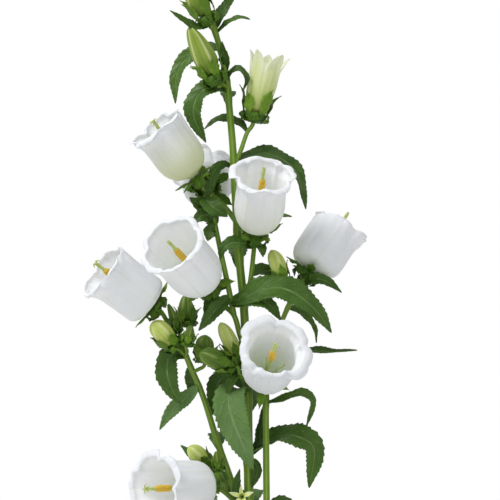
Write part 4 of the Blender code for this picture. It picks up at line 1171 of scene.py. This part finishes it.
def growFilaments(bm, chance):
    # withered stamens lie curled round the foot
    look = filamentLook
    for index in range(lobeCount):
        angle = lobeAngle(index + 0.5 + chance.uniform(-look["stray"], look["stray"]))
        reach = chance.uniform(*look["reach"])
        points = []
        radii = []
        for step in range(look["points"]):
            share = step / (look["points"] - 1)
            out = look["start"] + 0.8 * reach * share + 1.5 * math.sin(share * 12 + index)
            up = look["foot"] + reach * share * (1.6 - 0.9 * share) + 1.4 * math.sin(share * 13 + index * 2)
            points.append(roundSpot(out, angle + share * 0.9 * math.sin(index * 2.3), up) * mm)
            radii.append(look["thick"] * mm * (1.5 - share))
        tubeOn(bm, points, radii, look["sides"], material=2)


def buildStyle(name):
    stem, base, mouth, turn, length, tube, rim, styleLength, share = bells[name]
    chance = seeded(f"{name} style")
    first, last = (part * styleLength * mm for part in styleLook["pollen"])
    coarse, fine = styleLook["fuzzScales"]
    bm = newMesh()
    shape = profileLine([(h * styleLength, radius) for h, radius in styleLook["shaft"]], styleLook["points"])
    tubeOn(bm, [Vector((0, 0, spot.x * mm)) for spot in shape], [spot.y * mm for spot in shape],
           styleLook["sides"])
    for vert in bm.verts:
        out = Vector((vert.co.x, vert.co.y, 0))
        if first < vert.co.z < last and out.length > 0:
            fuzz = noise.noise(vert.co * coarse + Vector((length, 0, 0))) + 0.6 * noise.noise(vert.co * fine)
            vert.co += out.normalized() * styleLook["fuzz"] * fuzz
    for face in bm.faces:
        face.material_index = 1 if first < face.calc_center_median().z < last else 0
    growStigmas(bm, stigmaLook["height"] * styleLength, *stigmas[name], chance)
    growFilaments(bm, chance)
    bmesh.ops.transform(bm, matrix=flowerFrame(at(base), at(mouth), turn), verts=bm.verts)
    bmesh.ops.recalc_face_normals(bm, faces=bm.faces)
    finishPiece(name.replace("bell", "pistil"), bm, ["styleGreen", "pollen", "filament"],
                name.replace("bell", "style"))


for name in bells:
    buildStyle(name)
print("styles done")


# vase: radius and height in mm, from the lip down the outside, over the lip, and across the foot
vaseLook = {
    "outside": ((38.5, 209.5), (36.8, 206), (34.5, 200), (33, 186), (37.5, 164), (45, 136), (50.5, 104),
                (51, 76), (47.5, 44), (41.5, 16), (39.5, 3), (38.3, 0.3)),
    "lip": ((34.0, 209.2), (35.0, 210.0), (37.2, 210.0)),
    "foot": ((37.0, 0), (33.0, 0), (31.5, 1.2), (0, 1.2)), "glazeStarts": 1.9,
    "wall": 4.5, "floor": 9, "floorRadius": 32, "spanSteps": 8, "steps": 96,
    "throwing": 0.10 * mm, "thrownFrom": 4, "thrownTo": 205, "thrownOutside": 20,
}


def vaseProfile():
    inside = [(r - vaseLook["wall"], h) for r, h in vaseLook["outside"] if h > vaseLook["floor"] + 2]
    floor = [(0, vaseLook["floor"]), (vaseLook["floorRadius"], vaseLook["floor"])]
    rows = {**vaseLook, "floor": floor, "inside": inside}
    lines = {key: [Vector((r, 0, h)) * mm for r, h in rows[key]]
             for key in ("floor", "inside", "lip", "outside", "foot")}
    for key in ("inside", "outside"):
        lines[key] = curveThrough(lines[key], vaseLook["spanSteps"])
    return [*lines["floor"], *reversed(lines["inside"]), *lines["lip"], *lines["outside"], *lines["foot"]]


def buildVase():
    bm = newMesh()
    ring = [bm.verts.new(point) for point in vaseProfile()]
    edges = [bm.edges.new(pair) for pair in zip(ring, ring[1:])]
    bmesh.ops.spin(bm, geom=[*ring, *edges], cent=(0, 0, 0), axis=(0, 0, 1), angle=fullTurn,
                   steps=vaseLook["steps"], use_merge=True)
    bmesh.ops.remove_doubles(bm, verts=bm.verts, dist=10 * mergeWithin)
    bmesh.ops.recalc_face_normals(bm, faces=bm.faces)
    for vert in bm.verts:
        radius = math.hypot(vert.co.x, vert.co.y)
        height = vert.co.z / mm
        if radius > vaseLook["thrownOutside"] * mm and vaseLook["thrownFrom"] < height < vaseLook["thrownTo"]:
            lines = math.sin(height * 0.9 + 0.6 * math.sin(height * 0.13))   # not quite evenly spaced
            vert.co.xy *= 1 + vaseLook["throwing"] * lines / radius
    for face in bm.faces:
        face.material_index = 1 if face.calc_center_median().z < vaseLook["glazeStarts"] * mm else 0
    finishPiece("vaseBody", bm, ["vaseGlaze", "vaseFoot"], "vase")


buildVase()
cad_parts["water"].data.materials.clear()
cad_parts["water"].data.materials.append(materials["clearWater"])
print("vase and water done")


# studio: a pale floor, a white sky, two softboxes and a long lens
def buildStudio():
    bm = newMesh()
    bmesh.ops.create_circle(bm, cap_ends=True, segments=light["floorSides"], radius=light["floorRadius"])
    mesh = bpy.data.meshes.new("studioFloor")
    bm.to_mesh(mesh)
    bm.free()
    mesh.materials.append(materials["paperFloor"])
    placeInScene("studioFloor", mesh)
    world = bpy.data.worlds.new("studio")
    bpy.context.scene.world = world
    world.use_nodes = True
    tree = world.node_tree
    ambient = tree.nodes["Background"]
    behind = tree.nodes.new("ShaderNodeBackground")
    giveSocket(tree, ambient.inputs["Color"], light["sky"])
    giveSocket(tree, ambient.inputs["Strength"], light["skyForPlant"])
    giveSocket(tree, behind.inputs["Color"], (1, 1, 1))
    giveSocket(tree, behind.inputs["Strength"], light["skyBehind"])
    pick = tree.nodes.new("ShaderNodeMixShader")
    seen = tree.nodes.new("ShaderNodeLightPath").outputs["Is Camera Ray"]
    for socket, source in zip(pick.inputs, (seen, ambient.outputs[0], behind.outputs[0])):
        tree.links.new(source, socket)
    tree.links.new(pick.outputs[0], tree.nodes["World Output"].inputs["Surface"])


def addSoftbox(name, place, size, power):
    lamp = bpy.data.lights.new(name, "AREA")
    lamp.shape = "DISK"
    lamp.size = size
    lamp.energy = power
    aim = at((view["column"], view["row"], 0)) - Vector(place)
    placeInScene(name, lamp, place).rotation_euler = aim.to_track_quat("-Z", "Y").to_euler()


def addCamera():
    camera = bpy.data.cameras.new("studioCamera")
    camera.lens = view["lens"]
    camera.sensor_width = view["sensor"]
    camera.clip_end = view["farthest"]
    back = Vector((0, view["width"] * view["lens"] / view["sensor"], 0))
    holder = placeInScene("studioCamera", camera, at((view["column"], view["row"], 0)) - back)
    holder.rotation_euler = (math.radians(90), 0, 0)
    bpy.context.scene.camera = holder


buildStudio()
addSoftbox("keyLight", light["keyPlace"], light["keySize"], light["keyPower"])
addSoftbox("fillLight", light["fillPlace"], light["fillSize"], light["fillPower"])
addCamera()
bpy.context.scene.view_settings.view_transform = "Standard"
print("studio done")
